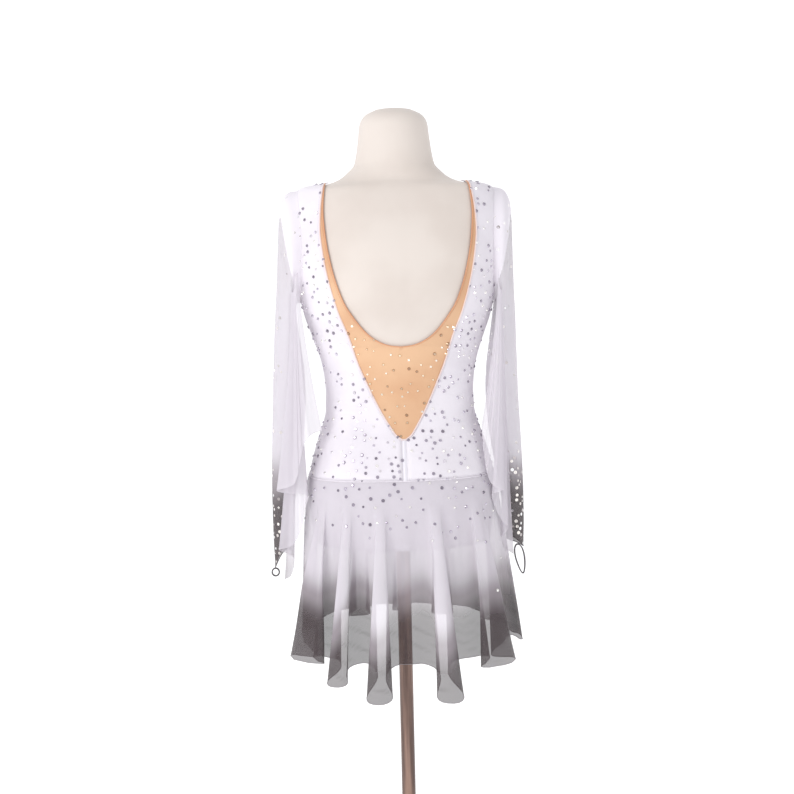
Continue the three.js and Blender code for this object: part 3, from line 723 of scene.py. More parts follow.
@dataclass
class Stitches:
    """Sews rows of small stitches along paths, with one node tree for all rows."""

    step: float = 3.2
    radius: float = 0.24
    long: float = 2.3
    tree: Optional[bpy.types.NodeTree] = None

    def node_tree(self) -> bpy.types.NodeTree:
        """Build the tree: even points along the path, a stitch at each, and realize."""
        if self.tree:
            return self.tree
        tree, inputs = start_tree(
            "sew_stitches", Step="Float", Radius="Float", Long="Float", Finish="Material")
        nodes, links = tree.nodes, tree.links
        curve = nodes.new("GeometryNodeMeshToCurve")
        even = nodes.new("GeometryNodeCurveToPoints")
        even.mode = "LENGTH"
        links.new(inputs.outputs["Geometry"], curve.inputs["Mesh"])
        links.new(curve.outputs["Curve"], even.inputs["Curve"])
        links.new(inputs.outputs["Step"], even.inputs["Length"])
        thread = nodes.new("GeometryNodeMeshCylinder")
        thread.inputs["Vertices"].default_value = 5
        links.new(inputs.outputs["Radius"], thread.inputs["Radius"])
        links.new(inputs.outputs["Long"], thread.inputs["Depth"])
        place = nodes.new("GeometryNodeInstanceOnPoints")
        links.new(even.outputs["Points"], place.inputs["Points"])
        links.new(even.outputs["Rotation"], place.inputs["Rotation"])
        links.new(thread.outputs["Mesh"], place.inputs["Instance"])
        end_tree(tree, inputs, place.outputs["Instances"])
        self.tree = tree
        return tree

    def sew(self, name: str, path: Array, finish: Finish, closed: bool = False) -> None:
        """Sew one row and keep it as one plain mesh.

        Args:
            name: the new piece's name.
            path: points in millimetres.
            finish: the thread's finish.
            closed: join the end to the start.
        """
        line = bpy.data.meshes.new(name + "_line")
        edges = [(i, i + 1) for i in range(len(path) - 1)] + [(len(path) - 1, 0)] * closed
        line.from_pydata((path * MM).tolist(), edges, [])
        work = link_object(name + "_work", line)
        wanted = {"Step": self.step * MM, "Radius": self.radius * MM, "Long": self.long * MM,
                  "Finish": finish.material()}
        keep_evaluated(work, self.node_tree(), wanted, name, finish)


def keep_evaluated(
    work: bpy.types.Object, tree: bpy.types.NodeTree, wanted: dict[str, object], name: str, finish: Finish
) -> None:
    """Run a node tree on a work object, keep what it makes as one plain piece and drop the work object.

    Args:
        work: the object that the tree runs on.
        tree: the tree.
        wanted: the tree's inputs by name.
        name: the new piece's name.
        finish: its finish, which names the slot.
    """
    modifier = work.modifiers.new("nodes", "NODES")
    modifier.node_group = tree
    for item in tree.interface.items_tree:
        if item.in_out == "INPUT" and item.name in wanted:
            modifier[item.identifier] = wanted[item.name]
    mesh = bpy.data.meshes.new_from_object(work.evaluated_get(bpy.context.evaluated_depsgraph_get()))
    work.modifiers.remove(modifier)
    bpy.data.objects.remove(work)
    mesh.name = name
    place_on_stand(link_object(name, mesh), finish)


@dataclass(frozen=True)
class Crease:
    """A soft trough or ridge in a sheet: its middle, its run and its size in millimetres."""

    x: float
    z: float
    slope: float
    long: float
    wide: float
    deep: float

    def push(self, x: Array, z: Array) -> Array:
        """Give how far the crease moves points out, by their place seen from behind."""
        lean = math.radians(self.slope)
        along = (x - self.x) * math.cos(lean) + (z - self.z) * math.sin(lean)
        off = -(x - self.x) * math.sin(lean) + (z - self.z) * math.cos(lean)
        return self.deep * bell(along / self.long) * bell(off / self.wide)


BACK_CREASES = [Crease(*row) for row in (
    (98, 792, 12, 26, 5, -0.9), (92, 778, 6, 30, 5.5, 0.8), (-96, 800, -10, 24, 5, -0.9),
    (-90, 784, -16, 28, 6, 0.8), (66, 742, 30, 26, 6, -0.7), (-58, 738, -24, 30, 6, -0.8),
    (30, 700, 8, 26, 6, 0.6), (-34, 694, -14, 24, 5, 0.6), (104, 700, 22, 22, 6, 0.6),
    (132, 905, 60, 24, 5, -0.9), (-133, 908, -58, 26, 5, -0.9), (126, 880, 48, 20, 5, 0.7),
    (-14, 682, 4, 22, 4, -0.6), (-104, 706, -20, 26, 6, 0.6),
)]
FRONT_CREASES = [Crease(*row) for row in (
    (92, 800, 10, 30, 6, -0.9), (-94, 794, -8, 30, 6, -0.9), (0, 786, 2, 44, 7, 0.7),
    (40, 770, 14, 34, 6, -0.6), (-46, 758, -12, 30, 6, 0.6), (118, 920, 52, 26, 6, -0.8),
    (-116, 916, -50, 26, 6, -0.8), (0, 905, 0, 30, 9, -1.2), (70, 700, 20, 30, 6, 0.6),
)]

SEAM_GAP = 0.35
WAIST_SEAM_Z = 664.4
V_POINT_Z = 729.0
U_POINT_Z = 878.0
NECK_POINT_Z = 1065.0
NECK_CORNER_Z = 1139.6
CORNER_WIDTH = 2.4
UNDERARM_Z = 948.0
SHOULDER_Z = 1131.0
ARMHOLE_DIP = 4.0
LEVELS = [
    664.8, 690, 713, V_POINT_Z, 735, 746, 763, 786, 812, 845, U_POINT_Z, 879.5, 882, 886, 898, 922,
    UNDERARM_Z, 948.6, 950, 956, 968, 988, 1014, 1040,
    NECK_POINT_Z, 1066, 1067.5, 1070, 1080, 1095, 1111, 1122, 1127.5,
    1130, SHOULDER_Z, 1136, NECK_CORNER_Z,
]


def edge_table(rows: Sequence[tuple[float, float]]) -> SmoothTable:
    """Make an edge's half width by height from its rows of height and half width."""
    return SmoothTable([z for z, _ in rows], [x for _, x in rows])


V_EDGE = edge_table([
    (V_POINT_Z, 2.6), (735, 11), (751, 21.5), (776, 35.5), (812, 52), (855, 69.5), (892, 81), (938, 99),
    (990, 113), (1027, 119.5), (1067, 123.3), (1098, 121.8), (1131, 117.3), (NECK_CORNER_Z, 115),
])
U_EDGE = edge_table([
    (U_POINT_Z, 0), (880, 17), (886, 33.5), (898, 51), (921, 70.5), (953, 90), (1008, 107), (1054, 114.8),
    (1094, 117.6), (1131, 115), (NECK_CORNER_Z, 112.8),
])
SCOOP = edge_table([
    (NECK_POINT_Z, 0), (1070, 42), (1080, 71), (1095, 93), (1108, 104), (1125, 111.5), (NECK_CORNER_Z, 115),
])


@dataclass
class Bodice:
    """The bodice: its front, its two backs, the nude inset, the zip and the trims along their edges."""

    form: FormShape
    stitches: Stitches
    lift: float = 2.9
    thick: float = 1.1
    zip_half: float = 2.2
    split: int = 4
    columns: int = 34
    waist_points: int = 260

    def levels(self, low: float = 0.0) -> Array:
        """Give the heights of the rows from a lowest one up, each of the part's levels split."""
        kept = [z for z in LEVELS if z > low + 0.2]
        if low > 0:
            kept.insert(0, low)
        parts = [np.linspace(a, b, self.split, endpoint=False) for a, b in zip(kept, kept[1:])]
        return np.concatenate(parts + [[kept[-1]]])

    def armhole_x(self, z: Array) -> Array:
        """Give the armhole's edge as a half width at each height."""
        low, high = self.form.read("half", UNDERARM_Z), self.form.read("half", SHOULDER_Z)
        t = (z - UNDERARM_Z) / (SHOULDER_Z - UNDERARM_Z)
        return mix(low, high, t) - ARMHOLE_DIP * np.sin(np.pi * t)

    def outer_angle(self, z: Array, face: Face) -> Array:
        """Give a bodice piece's outer edge: side seam, then armhole, then shoulder seam."""
        seam = self.form.angle_at_y(z, SEAM_GAP / 2, face)
        hole = self.form.angle_at_x(z, self.armhole_x(np.clip(z, UNDERARM_Z, SHOULDER_Z)))
        inside = (z > UNDERARM_Z) & (z < SHOULDER_Z)
        return np.where(inside, np.minimum(hole, seam), seam)

    def sheet(self, z: Array, start: Array, end: Array, columns: int, creases: Sequence[Crease]) -> Array:
        """Work out a sheet between two edges.

        Args:
            z: the rows' heights.
            start: the angle of each row's first point.
            end: the angle of each row's last point.
            columns: how many columns of faces.
            creases: soft folds that it carries.

        Returns:
            The grid of points.
        """
        share = np.linspace(0, 1, columns + 1)
        angle = start[:, None] + (end - start)[:, None] * share[None, :]
        height = np.broadcast_to(z[:, None], angle.shape)
        flat = self.form.point(angle, height)
        lift = np.full(angle.shape, self.lift)
        for crease in creases:
            lift = lift + crease.push(flat[..., 0], height)
        return self.form.lifted(angle, height, np.maximum(lift, self.thick + 0.7))

    def back_density(self, grid: Array) -> Array:
        """Say how thickly the stones lie on the white backs."""
        x, z = np.abs(grid[..., 0]), grid[..., 2]
        beside = x - V_EDGE(np.maximum(z, V_POINT_Z))
        near = 1.0 - smoothstep(26, 74, beside)
        low = smoothstep(800, 740, z) * (0.9 - 0.5 * smoothstep(60, 130, x))
        high = 0.55 * smoothstep(1020, 1080, z)
        return np.clip(np.maximum(near * 0.8, low) - high * smoothstep(8, 26, beside) + 0.07, 0.0, 1.0)

    def build_backs(self) -> list[bpy.types.Object]:
        """Make both backs."""
        made = []
        for side in Side:
            z = self.levels()
            edge = np.where(z > V_POINT_Z, V_EDGE(z), self.zip_half + SEAM_GAP)
            start = self.form.angle_at_x(z, np.minimum(edge, self.form.read("half", z) - CORNER_WIDTH))
            end = self.outer_angle(z, Face.BACK)
            grid = self.sheet(z, side.value * start, side.value * end, self.columns, BACK_CREASES)
            cloth = ClothMesh()
            cloth.add_grid(grid, {"stones": self.back_density(grid)}, flip=side is Side.LEFT)
            piece = cloth.make(f"back_{side.name.lower()}_cloth", WHITE_KNIT)
            thicken(piece, self.thick)
            place_on_stand(piece, WHITE_KNIT, f"bodice_back_{side.name.lower()}")
            made.append(piece)
        return made

    def build_front(self) -> bpy.types.Object:
        """Make the front in two mirrored halves that join at the centre."""
        z = self.levels()
        edge = np.where(z > NECK_POINT_Z, SCOOP(z), 0.0)
        start = np.pi - self.form.angle_at_x(z, np.minimum(edge, self.form.read("half", z) - CORNER_WIDTH))
        end = np.pi - self.outer_angle(z, Face.FRONT)
        cloth = ClothMesh()
        for side in Side:
            grid = self.sheet(z, side.value * start, side.value * end, self.columns, FRONT_CREASES)
            x, height = np.abs(grid[..., 0]), grid[..., 2]
            yoke = 0.75 * smoothstep(950, 1060, height) * (1 - smoothstep(60, 130, x))
            low = smoothstep(790, 700, height) * (0.75 - 0.4 * smoothstep(60, 130, x))
            density = np.clip(np.maximum(yoke, low) + 0.06, 0, 1)
            cloth.add_grid(grid, {"stones": density}, flip=side is Side.RIGHT)
        piece = cloth.make("front_cloth", WHITE_KNIT)
        thicken(piece, self.thick)
        place_on_stand(piece, WHITE_KNIT, "bodice_front")
        return piece

    def build_inset(self) -> bpy.types.Object:
        """Make the nude inset between the white V and the open U."""
        z = self.levels(V_POINT_Z + 0.4)
        outside = np.minimum(V_EDGE(z), self.form.read("half", z) - CORNER_WIDTH) - SEAM_GAP
        inside = np.where(z > U_POINT_Z, np.minimum(U_EDGE(z), outside - 1.6), 0.0)
        cloth = ClothMesh()
        for side in Side:
            start = side.value * self.form.angle_at_x(z, inside)
            end = side.value * self.form.angle_at_x(z, outside)
            grid = self.sheet(z, start, end, 18, [])
            low = 0.85 * (1 - smoothstep(872, 940, grid[..., 2]))
            cloth.add_grid(grid, {"stones": low}, flip=side is Side.LEFT)
        piece = cloth.make("nude_inset_cloth", NUDE_MESH)
        thicken(piece, self.thick)
        place_on_stand(piece, NUDE_MESH, "back_inset")
        return piece

    def build_zip(self) -> None:
        """Make the ridge over the concealed zip."""
        z = np.linspace(664.8, V_POINT_Z - 1, 60)
        edge = self.form.angle_at_x(z, self.zip_half + 1.0)
        share = np.linspace(-1, 1, 13)
        angle = edge[:, None] * share[None, :]
        height = np.broadcast_to(z[:, None], angle.shape)
        ridge = np.broadcast_to(self.lift + 0.15 + 0.9 * bell(share / 0.45), angle.shape)
        cloth = ClothMesh()
        cloth.add_grid(self.form.lifted(angle, height, ridge), {}, flip=True)
        piece = cloth.make("zip_cover", ZIP_TAPE)
        thicken(piece, self.thick)
        place_on_stand(piece, ZIP_TAPE, "back_zip")

    def edge_path(self, table: SmoothTable, low: float, lift: float, shift: float) -> Array:
        """Follow an edge from one shoulder down to its point and up to the other.

        Args:
            table: the edge.
            low: the height of its lowest point.
            lift: how far out from the form.
            shift: how far to the side of the edge.

        Returns:
            Points in millimetres, evenly spaced along the path.
        """
        z = np.linspace(low, NECK_CORNER_Z - 0.6, 400)
        x = np.maximum(table(z) + shift, 0.0)
        angle = self.form.angle_at_x(z, np.minimum(x, self.form.read("half", z) - CORNER_WIDTH))
        half = self.form.lifted(angle, z, np.full(z.shape, lift))
        path = np.concatenate([mirrored(half)[::-1], half])
        return evened(path, 3.0)

    def build_trims(self) -> None:
        """Make the blush piping along the V, the nude binding along the U and the white one in front."""
        v_path = self.edge_path(V_EDGE, V_POINT_Z, self.lift + 0.2, 0.3)
        trim("v_piping", v_path, 1.3, PIPING)
        u_path = self.edge_path(U_EDGE, U_POINT_Z, self.lift - 0.1, 0.5)
        trim("u_binding", u_path, 1.0, NUDE_EDGE)
        scoop = self.edge_path(SCOOP, NECK_POINT_Z, self.lift - 0.1, 0.5)
        z = scoop[:, 2]
        angle = np.pi - self.form.angle_at_x(z, np.abs(scoop[:, 0]))
        front = self.form.lifted(np.sign(scoop[:, 0]) * angle, z, np.full(z.shape, self.lift - 0.1))
        trim("neck_binding", front, 1.0, THREAD)
        self.stitches.sew("neck_stitches", front + np.array([0.0, -0.6, -2.6]), THREAD)
        self.stitches.sew("v_stitches", self.edge_path(V_EDGE, V_POINT_Z, self.lift + 0.1, 3.4), THREAD)
        self.stitches.sew("u_stitches", self.edge_path(U_EDGE, U_POINT_Z, self.lift + 0.1, 2.8), NUDE_EDGE)
        turn = np.linspace(0, 2 * np.pi, self.waist_points, endpoint=False)
        level = np.full(self.waist_points, WAIST_SEAM_Z)
        waist = self.form.lifted(turn, level + 0.3, np.full(self.waist_points, self.lift + 0.3))
        trim("waist_seam", waist, 1.0, WHITE_KNIT, 8, True)
        sewn = self.form.lifted(turn, level + 3.4, np.full(self.waist_points, self.lift + 0.2))
        self.stitches.sew("waist_stitches", sewn, THREAD, True)


def evened(path: Array, step: float) -> Array:
    """Space a path's points evenly.

    Args:
        path: points in millimetres.
        step: the spacing wanted.

    Returns:
        The new points.
    """
    run = np.concatenate([[0.0], np.cumsum(np.linalg.norm(np.diff(path, axis=0), axis=1))])
    at = np.linspace(0, run[-1], max(int(run[-1] / step), 4))
    return np.stack([np.interp(at, run, path[:, axis]) for axis in range(3)], axis=1)


@dataclass(frozen=True)
class Ring:
    """A sleeve's ring: its outer and inner point, half depth, and centre from front to back."""

    out_x: float
    out_z: float
    in_x: float
    in_z: float
    deep: float
    y: float


SLEEVE_RINGS = [Ring(*row) for row in (
    (166, 1131.5, 160.5, 950.5, 50, 2), (176, 1128.5, 163.5, 944, 51, 2), (184, 1119, 163.5, 930, 49, 1),
    (188.5, 1103, 161.5, 912, 47, 0), (190.5, 1070, 158, 890, 44, -1), (192.5, 1030, 154, 864, 41.5, -2),
    (195.5, 975, 150.5, 834, 39, -3), (199.5, 910, 149.5, 800, 37, -4), (202, 850, 151, 764, 35.5, -5),
    (204, 790, 154.5, 728, 34, -5), (206.5, 730, 160.5, 690, 32.5, -5), (208.5, 675, 167.5, 652, 31, -5),
    (209.5, 625, 173, 614, 29.5, -5), (209.5, 582, 177, 580, 28, -5),
)]
CUFF_RING = Ring(208, 0, 180.5, 548, 26.5, -5)


@dataclass(frozen=True)
class LoopPlace:
    """A finger loop's middle, top and size; it narrows downwards to its taper and leans outwards."""

    x: float
    y: float
    top: float
    wide: float
    tall: float
    taper: float
    lean: float


@dataclass(frozen=True)
class Arm:
    """What differs between the two arms; hems holds the corners of the drape's hem as x, y and z."""

    side: Side
    tip: float
    dyed: tuple[float, float]
    loop: LoopPlace
    drape_flat: tuple[float, float]
    drape_area: float
    hems: tuple[tuple[float, float, float], ...]


ARMS = [
    Arm(Side.LEFT, 511, (735, 592), LoopPlace(213.5, -5, 510.65, 14, 15, 1.0, 0.0), (0.16, 0.5), 0.045, (
        (130, 67, 746), (148, 73, 739), (160, 74, 724), (168, 73, 690), (178, 71, 660),
        (206, 66, 650), (184, 58, 643), (156, 54, 639), (160, 51, 620), (168, 49, 585),
        (184, 47, 556), (206, 45, 549), (194, 38, 542), (182, 36, 534), (188, 31, 503),
        (198, 30, 497))),
    Arm(Side.RIGHT, 534, (714, 612), LoopPlace(189.5, 20, 542.5, 21, 51, 0.55, 8.0), (0.13, 0.47), 0.03, (
        (128, 66, 748), (131, 72, 695), (139, 75, 656), (151, 74, 644), (162, 69, 641),
        (153, 66, 637), (143, 65, 632), (149, 60, 610), (158, 54, 590), (171, 47, 573),
        (164, 42, 563), (160, 38, 556), (167, 33, 538), (181, 31, 527))),
]


@dataclass(frozen=True)
class SleeveFold:
    """A soft fold in a sleeve: its turn round the arm, its place down it, and its size."""

    turn: float
    place: float
    wide: float
    long: float
    deep: float
    twist: float


HEAD_LINE = edge_table([(919, 146), (952, 156), (994, 170), (1049, 181), (1106, 189.5), (1140, 192)])

SLEEVE_FOLDS = [SleeveFold(*row) for row in (
    (0.9, 0.25, 0.28, 0.2, -2.2, 0.5), (1.5, 0.35, 0.24, 0.26, 1.8, 0.3),
    (2.2, 0.3, 0.26, 0.22, -2.4, -0.4), (-1.2, 0.28, 0.26, 0.22, -2.2, -0.5),
    (-2.0, 0.4, 0.28, 0.24, 2.0, 0.4), (0.4, 0.52, 0.3, 0.16, -1.8, 0.9),
    (1.9, 0.6, 0.3, 0.2, -2.0, 0.6), (-0.7, 0.6, 0.3, 0.2, 1.6, -0.7),
    (-1.6, 0.7, 0.26, 0.16, -1.6, 0.6), (0.8, 0.78, 0.26, 0.12, -1.4, 1.1),
    (1.6, 0.88, 0.3, 0.08, -1.2, 1.6), (-0.9, 0.86, 0.3, 0.09, -1.2, -1.4),
    (0.0, 0.16, 0.34, 0.1, 1.2, 0.2), (2.8, 0.5, 0.26, 0.24, 1.2, 0.3),
)]


@dataclass
class Sleeve:
    """One arm: the sleeve, its stepped drape and its finger loop."""

    form: FormShape
    bodice: Bodice
    arm: Arm
    swing: float = 6.0
    swing_from: float = 1100.0
    swing_over: float = 300.0
    cuff_power: float = 2.2
    hole_gap: float = 0.65
    columns: int = 96
    drape_top: tuple[float, float, float] = (168.0, 38.7, 1000.0)
    squeeze: tuple[float, float] = (0.16, 0.3)
    slant: float = 0.35
    bend: float = 1.5
    loop_thick: float = 2.2
    loop_band: float = 5.0

    @property
    def tag(self) -> str:
        """Give the side's name."""
        return self.arm.side.name.lower()

    def swung(self, z: Array) -> Array:
        """Give how far the hanging arm is moved to the wearer's left."""
        return self.swing * np.clip((self.swing_from - z) / self.swing_over, 0, 1)

    def armhole(self, turn: Array) -> Array:
        """Work out the sleeve's first ring, just off the bodice's armhole."""
        middle = (SHOULDER_Z + UNDERARM_Z) / 2
        z = middle + (SHOULDER_Z - UNDERARM_Z) / 2 * np.cos(turn)
        angle = self.form.angle_at_x(z, self.bodice.armhole_x(z))
        face = np.where(np.sin(turn) >= 0, angle, np.pi - angle)
        point = self.form.lifted(face, z, np.full(z.shape, 2.3))
        inward = np.stack([np.zeros_like(z), -point[:, 1], middle - z], axis=1)
        inward *= self.hole_gap / np.linalg.norm(inward, axis=1, keepdims=True)
        point = point + inward + np.array([self.hole_gap, 0, 0])
        return point * np.array([self.arm.side.value, 1, 1])

    def ring(self, ring: Ring, turn: Array, power: float = 1.0, tip: Optional[float] = None) -> Array:
        """Work out one ring; a cuff's ring drops to its tip by a power."""
        u = (1 + np.cos(turn)) / 2
        x = mix(ring.in_x, ring.out_x, u)
        z = mix(ring.in_z, ring.out_z if tip is None else tip, u**power)
        y = ring.y + ring.deep * np.sin(turn)
        return np.stack([self.arm.side.value * x + self.swung(z), y, z], axis=1)

    def grid(self) -> Array:
        """Work out the sleeve's grid, from the armhole down to the cuff."""
        turn = np.linspace(0, 2 * np.pi, self.columns, endpoint=False)
        rings = [self.armhole(turn)] + [self.ring(ring, turn) for ring in SLEEVE_RINGS]
        rings.append(self.ring(CUFF_RING, turn, self.cuff_power, self.arm.tip))
        stack = np.stack(rings)
        steps = np.linalg.norm(np.diff(stack.mean(axis=1), axis=0), axis=1)
        run = np.concatenate([[0.0], np.cumsum(steps + 2.0)])
        rows = np.linspace(0, 1, 130) ** 0.9
        place = rows * run[-1]
        flat = stack.reshape(len(rings), -1)
        grid = np.stack([SmoothTable(run, flat[:, k])(place) for k in range(flat.shape[1])], axis=1)
        grid = grid.reshape(len(rows), self.columns, 3)
        return self.folded(grid, rows, turn)

    def folded(self, grid: Array, rows: Array, turn: Array) -> Array:
        """Push the soft folds in and out of the sleeve."""
        along = np.roll(grid, -1, axis=1) - np.roll(grid, 1, axis=1)
        out = np.cross(along, np.gradient(grid, axis=0))
        out /= np.linalg.norm(out, axis=-1, keepdims=True) + 1e-9
        out *= -self.arm.side.value
        push = np.zeros(grid.shape[:2])
        for fold in SLEEVE_FOLDS:
            off = turn[None, :] - fold.turn - fold.twist * (rows[:, None] - fold.place)
            off = np.arctan2(np.sin(off), np.cos(off)) / fold.wide
            push += fold.deep * bell(off) * bell((rows[:, None] - fold.place) / fold.long)
        fade = smoothstep(0.02, 0.12, rows) * (1 - 0.6 * smoothstep(0.93, 1.0, rows))
        inner = 0.35 + 0.65 * smoothstep(-0.9, 0.2, np.cos(turn))
        return grid + out * (push * fade[:, None] * inner[None, :])[..., None]

    def build_sleeve(self) -> bpy.types.Object:
        """Make the sleeve, dyed dark towards the cuff."""
        grid = self.grid()
        z = grid[..., 2]
        dye = smoothstep(*self.arm.dyed, z + 5 * np.sin(grid[..., 1] / 9.0))
        beside = np.abs(grid[..., 0]) - self.swung(z) * self.arm.side.value - HEAD_LINE(z)
        inside_seam = smoothstep(0.8, -0.8, beside) * smoothstep(930, 940, z)
        lining = np.maximum(inside_seam, smoothstep(1083, 1086, z))
        stones = 0.12 * smoothstep(1120, 960, z) + 0.75 * smoothstep(715, 640, z) + 0.3 * lining
        cloth = ClothMesh()
        values = {"dye": dye, "stones": stones, "lining": lining}
        cloth.add_grid(grid, values, closed=True, flip=self.arm.side is Side.RIGHT)
        piece = cloth.make(f"sleeve_{self.tag}_mesh", SLEEVE_MESH)
        place_on_stand(piece, SLEEVE_MESH, f"sleeve_{self.tag}")
        trim(f"cuff_edge_{self.tag}", grid[-1], 0.7, LOOP_ELASTIC, closed=True)
        seam = evened(np.concatenate([grid[0], grid[0][:1]]), 4.0)[:-1]
        trim(f"armhole_seam_{self.tag}", seam, 0.9, WHITE_KNIT, 8, True)
        self.bodice.stitches.sew(f"cuff_stitches_{self.tag}", grid[-3], LOOP_ELASTIC, True)
        return piece

    def build_drape(self) -> None:
        """Make the drape: folds that lie over each other, with a hem that steps down in tiers."""
        corners = np.array(self.arm.hems, float)
        run = np.concatenate([[0.0], np.cumsum(np.linalg.norm(np.diff(corners, axis=0), axis=1) ** 0.5)])
        at = np.linspace(0, run[-1], 150)
        foot = np.stack([cubic(run, line, np.gradient(line, run), at) for line in corners.T], axis=1)
        v = np.linspace(0, 1, 70)[:, None]
        top_x = self.drape_top[0] + (foot[:, 0] - self.drape_top[0]) * self.squeeze[0]
        top_y = self.drape_top[1] + (foot[:, 1] - foot[-1, 1]) * self.squeeze[1]
        top_z = self.drape_top[2] - self.slant * (foot[0, 2] - foot[:, 2])
        x = mix(top_x, foot[:, 0], v**self.bend)
        y = mix(top_y, foot[:, 1], v)
        ripple = np.sin(at[None, :] * 1.1 + 1.3 * v) * 1.6 + np.sin(at[None, :] * 2.3 + 0.7) * 0.7
        swell = v**1.2 * ripple * (1 - 0.5 * v)
        grid = np.stack([x * self.arm.side.value, y + swell, mix(top_z, foot[:, 2], v)], axis=-1)
        dye = 0.3 * smoothstep(590, 505, grid[..., 2]) * smoothstep(0.5, 1.0, v)
        cloth = ClothMesh()
        cloth.add_grid(grid, {"dye": dye, "stones": 0.0}, flip=self.arm.side is Side.RIGHT)
        piece = cloth.make(f"drape_{self.tag}_chiffon", DRAPE_CHIFFON)
        place_on_stand(piece, DRAPE_CHIFFON, f"sleeve_drape_{self.tag}")

    def build_loop(self) -> None:
        """Make the flat elastic band for the finger."""
        loop = self.arm.loop
        thick, band = self.loop_thick, self.loop_band
        turn = np.linspace(0, 2 * np.pi, 49)
        shape = (len(turn), 5)
        down = (1 - np.cos(turn)) / 2
        shift = self.arm.side.value * (loop.x + loop.lean * down)
        share = np.linspace(-1, 1, 5)
        sink = np.array([0.25, 0.0, 0.0, 0.0, 0.25])
        rings = []
        for grow in (thick / 2, -thick / 2):
            x = shift + ((loop.wide / 2 - thick / 2) * mix(1.0, loop.taper, down) + grow) * np.sin(turn)
            z = loop.top - loop.tall / 2 + (loop.tall / 2 - thick / 2 + grow) * np.cos(turn)
            rings.append(np.stack([
                np.broadcast_to(x[:, None], shape), np.broadcast_to(loop.y + share * band / 2, shape),
                z[:, None] - np.sign(grow) * sink[None, :] * np.cos(turn)[:, None]], axis=-1))
        section = np.concatenate([rings[0], rings[1][:, ::-1]], axis=1)
        cloth = ClothMesh()
        cloth.add_grid(section, {}, closed=True)
        piece = cloth.make(f"loop_{self.tag}_elastic", LOOP_ELASTIC)
        place_on_stand(piece, LOOP_ELASTIC, f"finger_loop_{self.tag}")


@dataclass(frozen=True)
class Flute:
    """A flute: its place on the valleys' hem, face, foot's half width, bulb, reach, tip and paleness, the
    painted highlight that keeps its lit half pale.
    """

    x: float
    face: Face
    foot: float
    bulb: float
    out: float
    tip: float
    pale: float


FLUTES = [Flute(*row) for row in (
    (43, Face.BACK, 27, 13, 67, 328, 0.9), (98, Face.BACK, 24, 11, 56, 350, 0.8),
    (142, Face.BACK, 35, 30, 46, 381, 0.0), (141, Face.FRONT, 28, 11, 27, 384, 0.0),
    (68, Face.FRONT, 28, 12, 34, 392, 0.7), (-3, Face.FRONT, 27, 10, 40, 396, 0.9),
    (-70, Face.FRONT, 28, 12, 32, 390, 0.7), (-140, Face.FRONT, 28, 11, 29, 386, 0.0),
    (-171, Face.BACK, 25, 10, 24, 383, 0.0), (-123, Face.BACK, 40, 27, 48, 369, 0.1),
    (-48, Face.BACK, 28, 14, 72, 327, 1.0),
)]


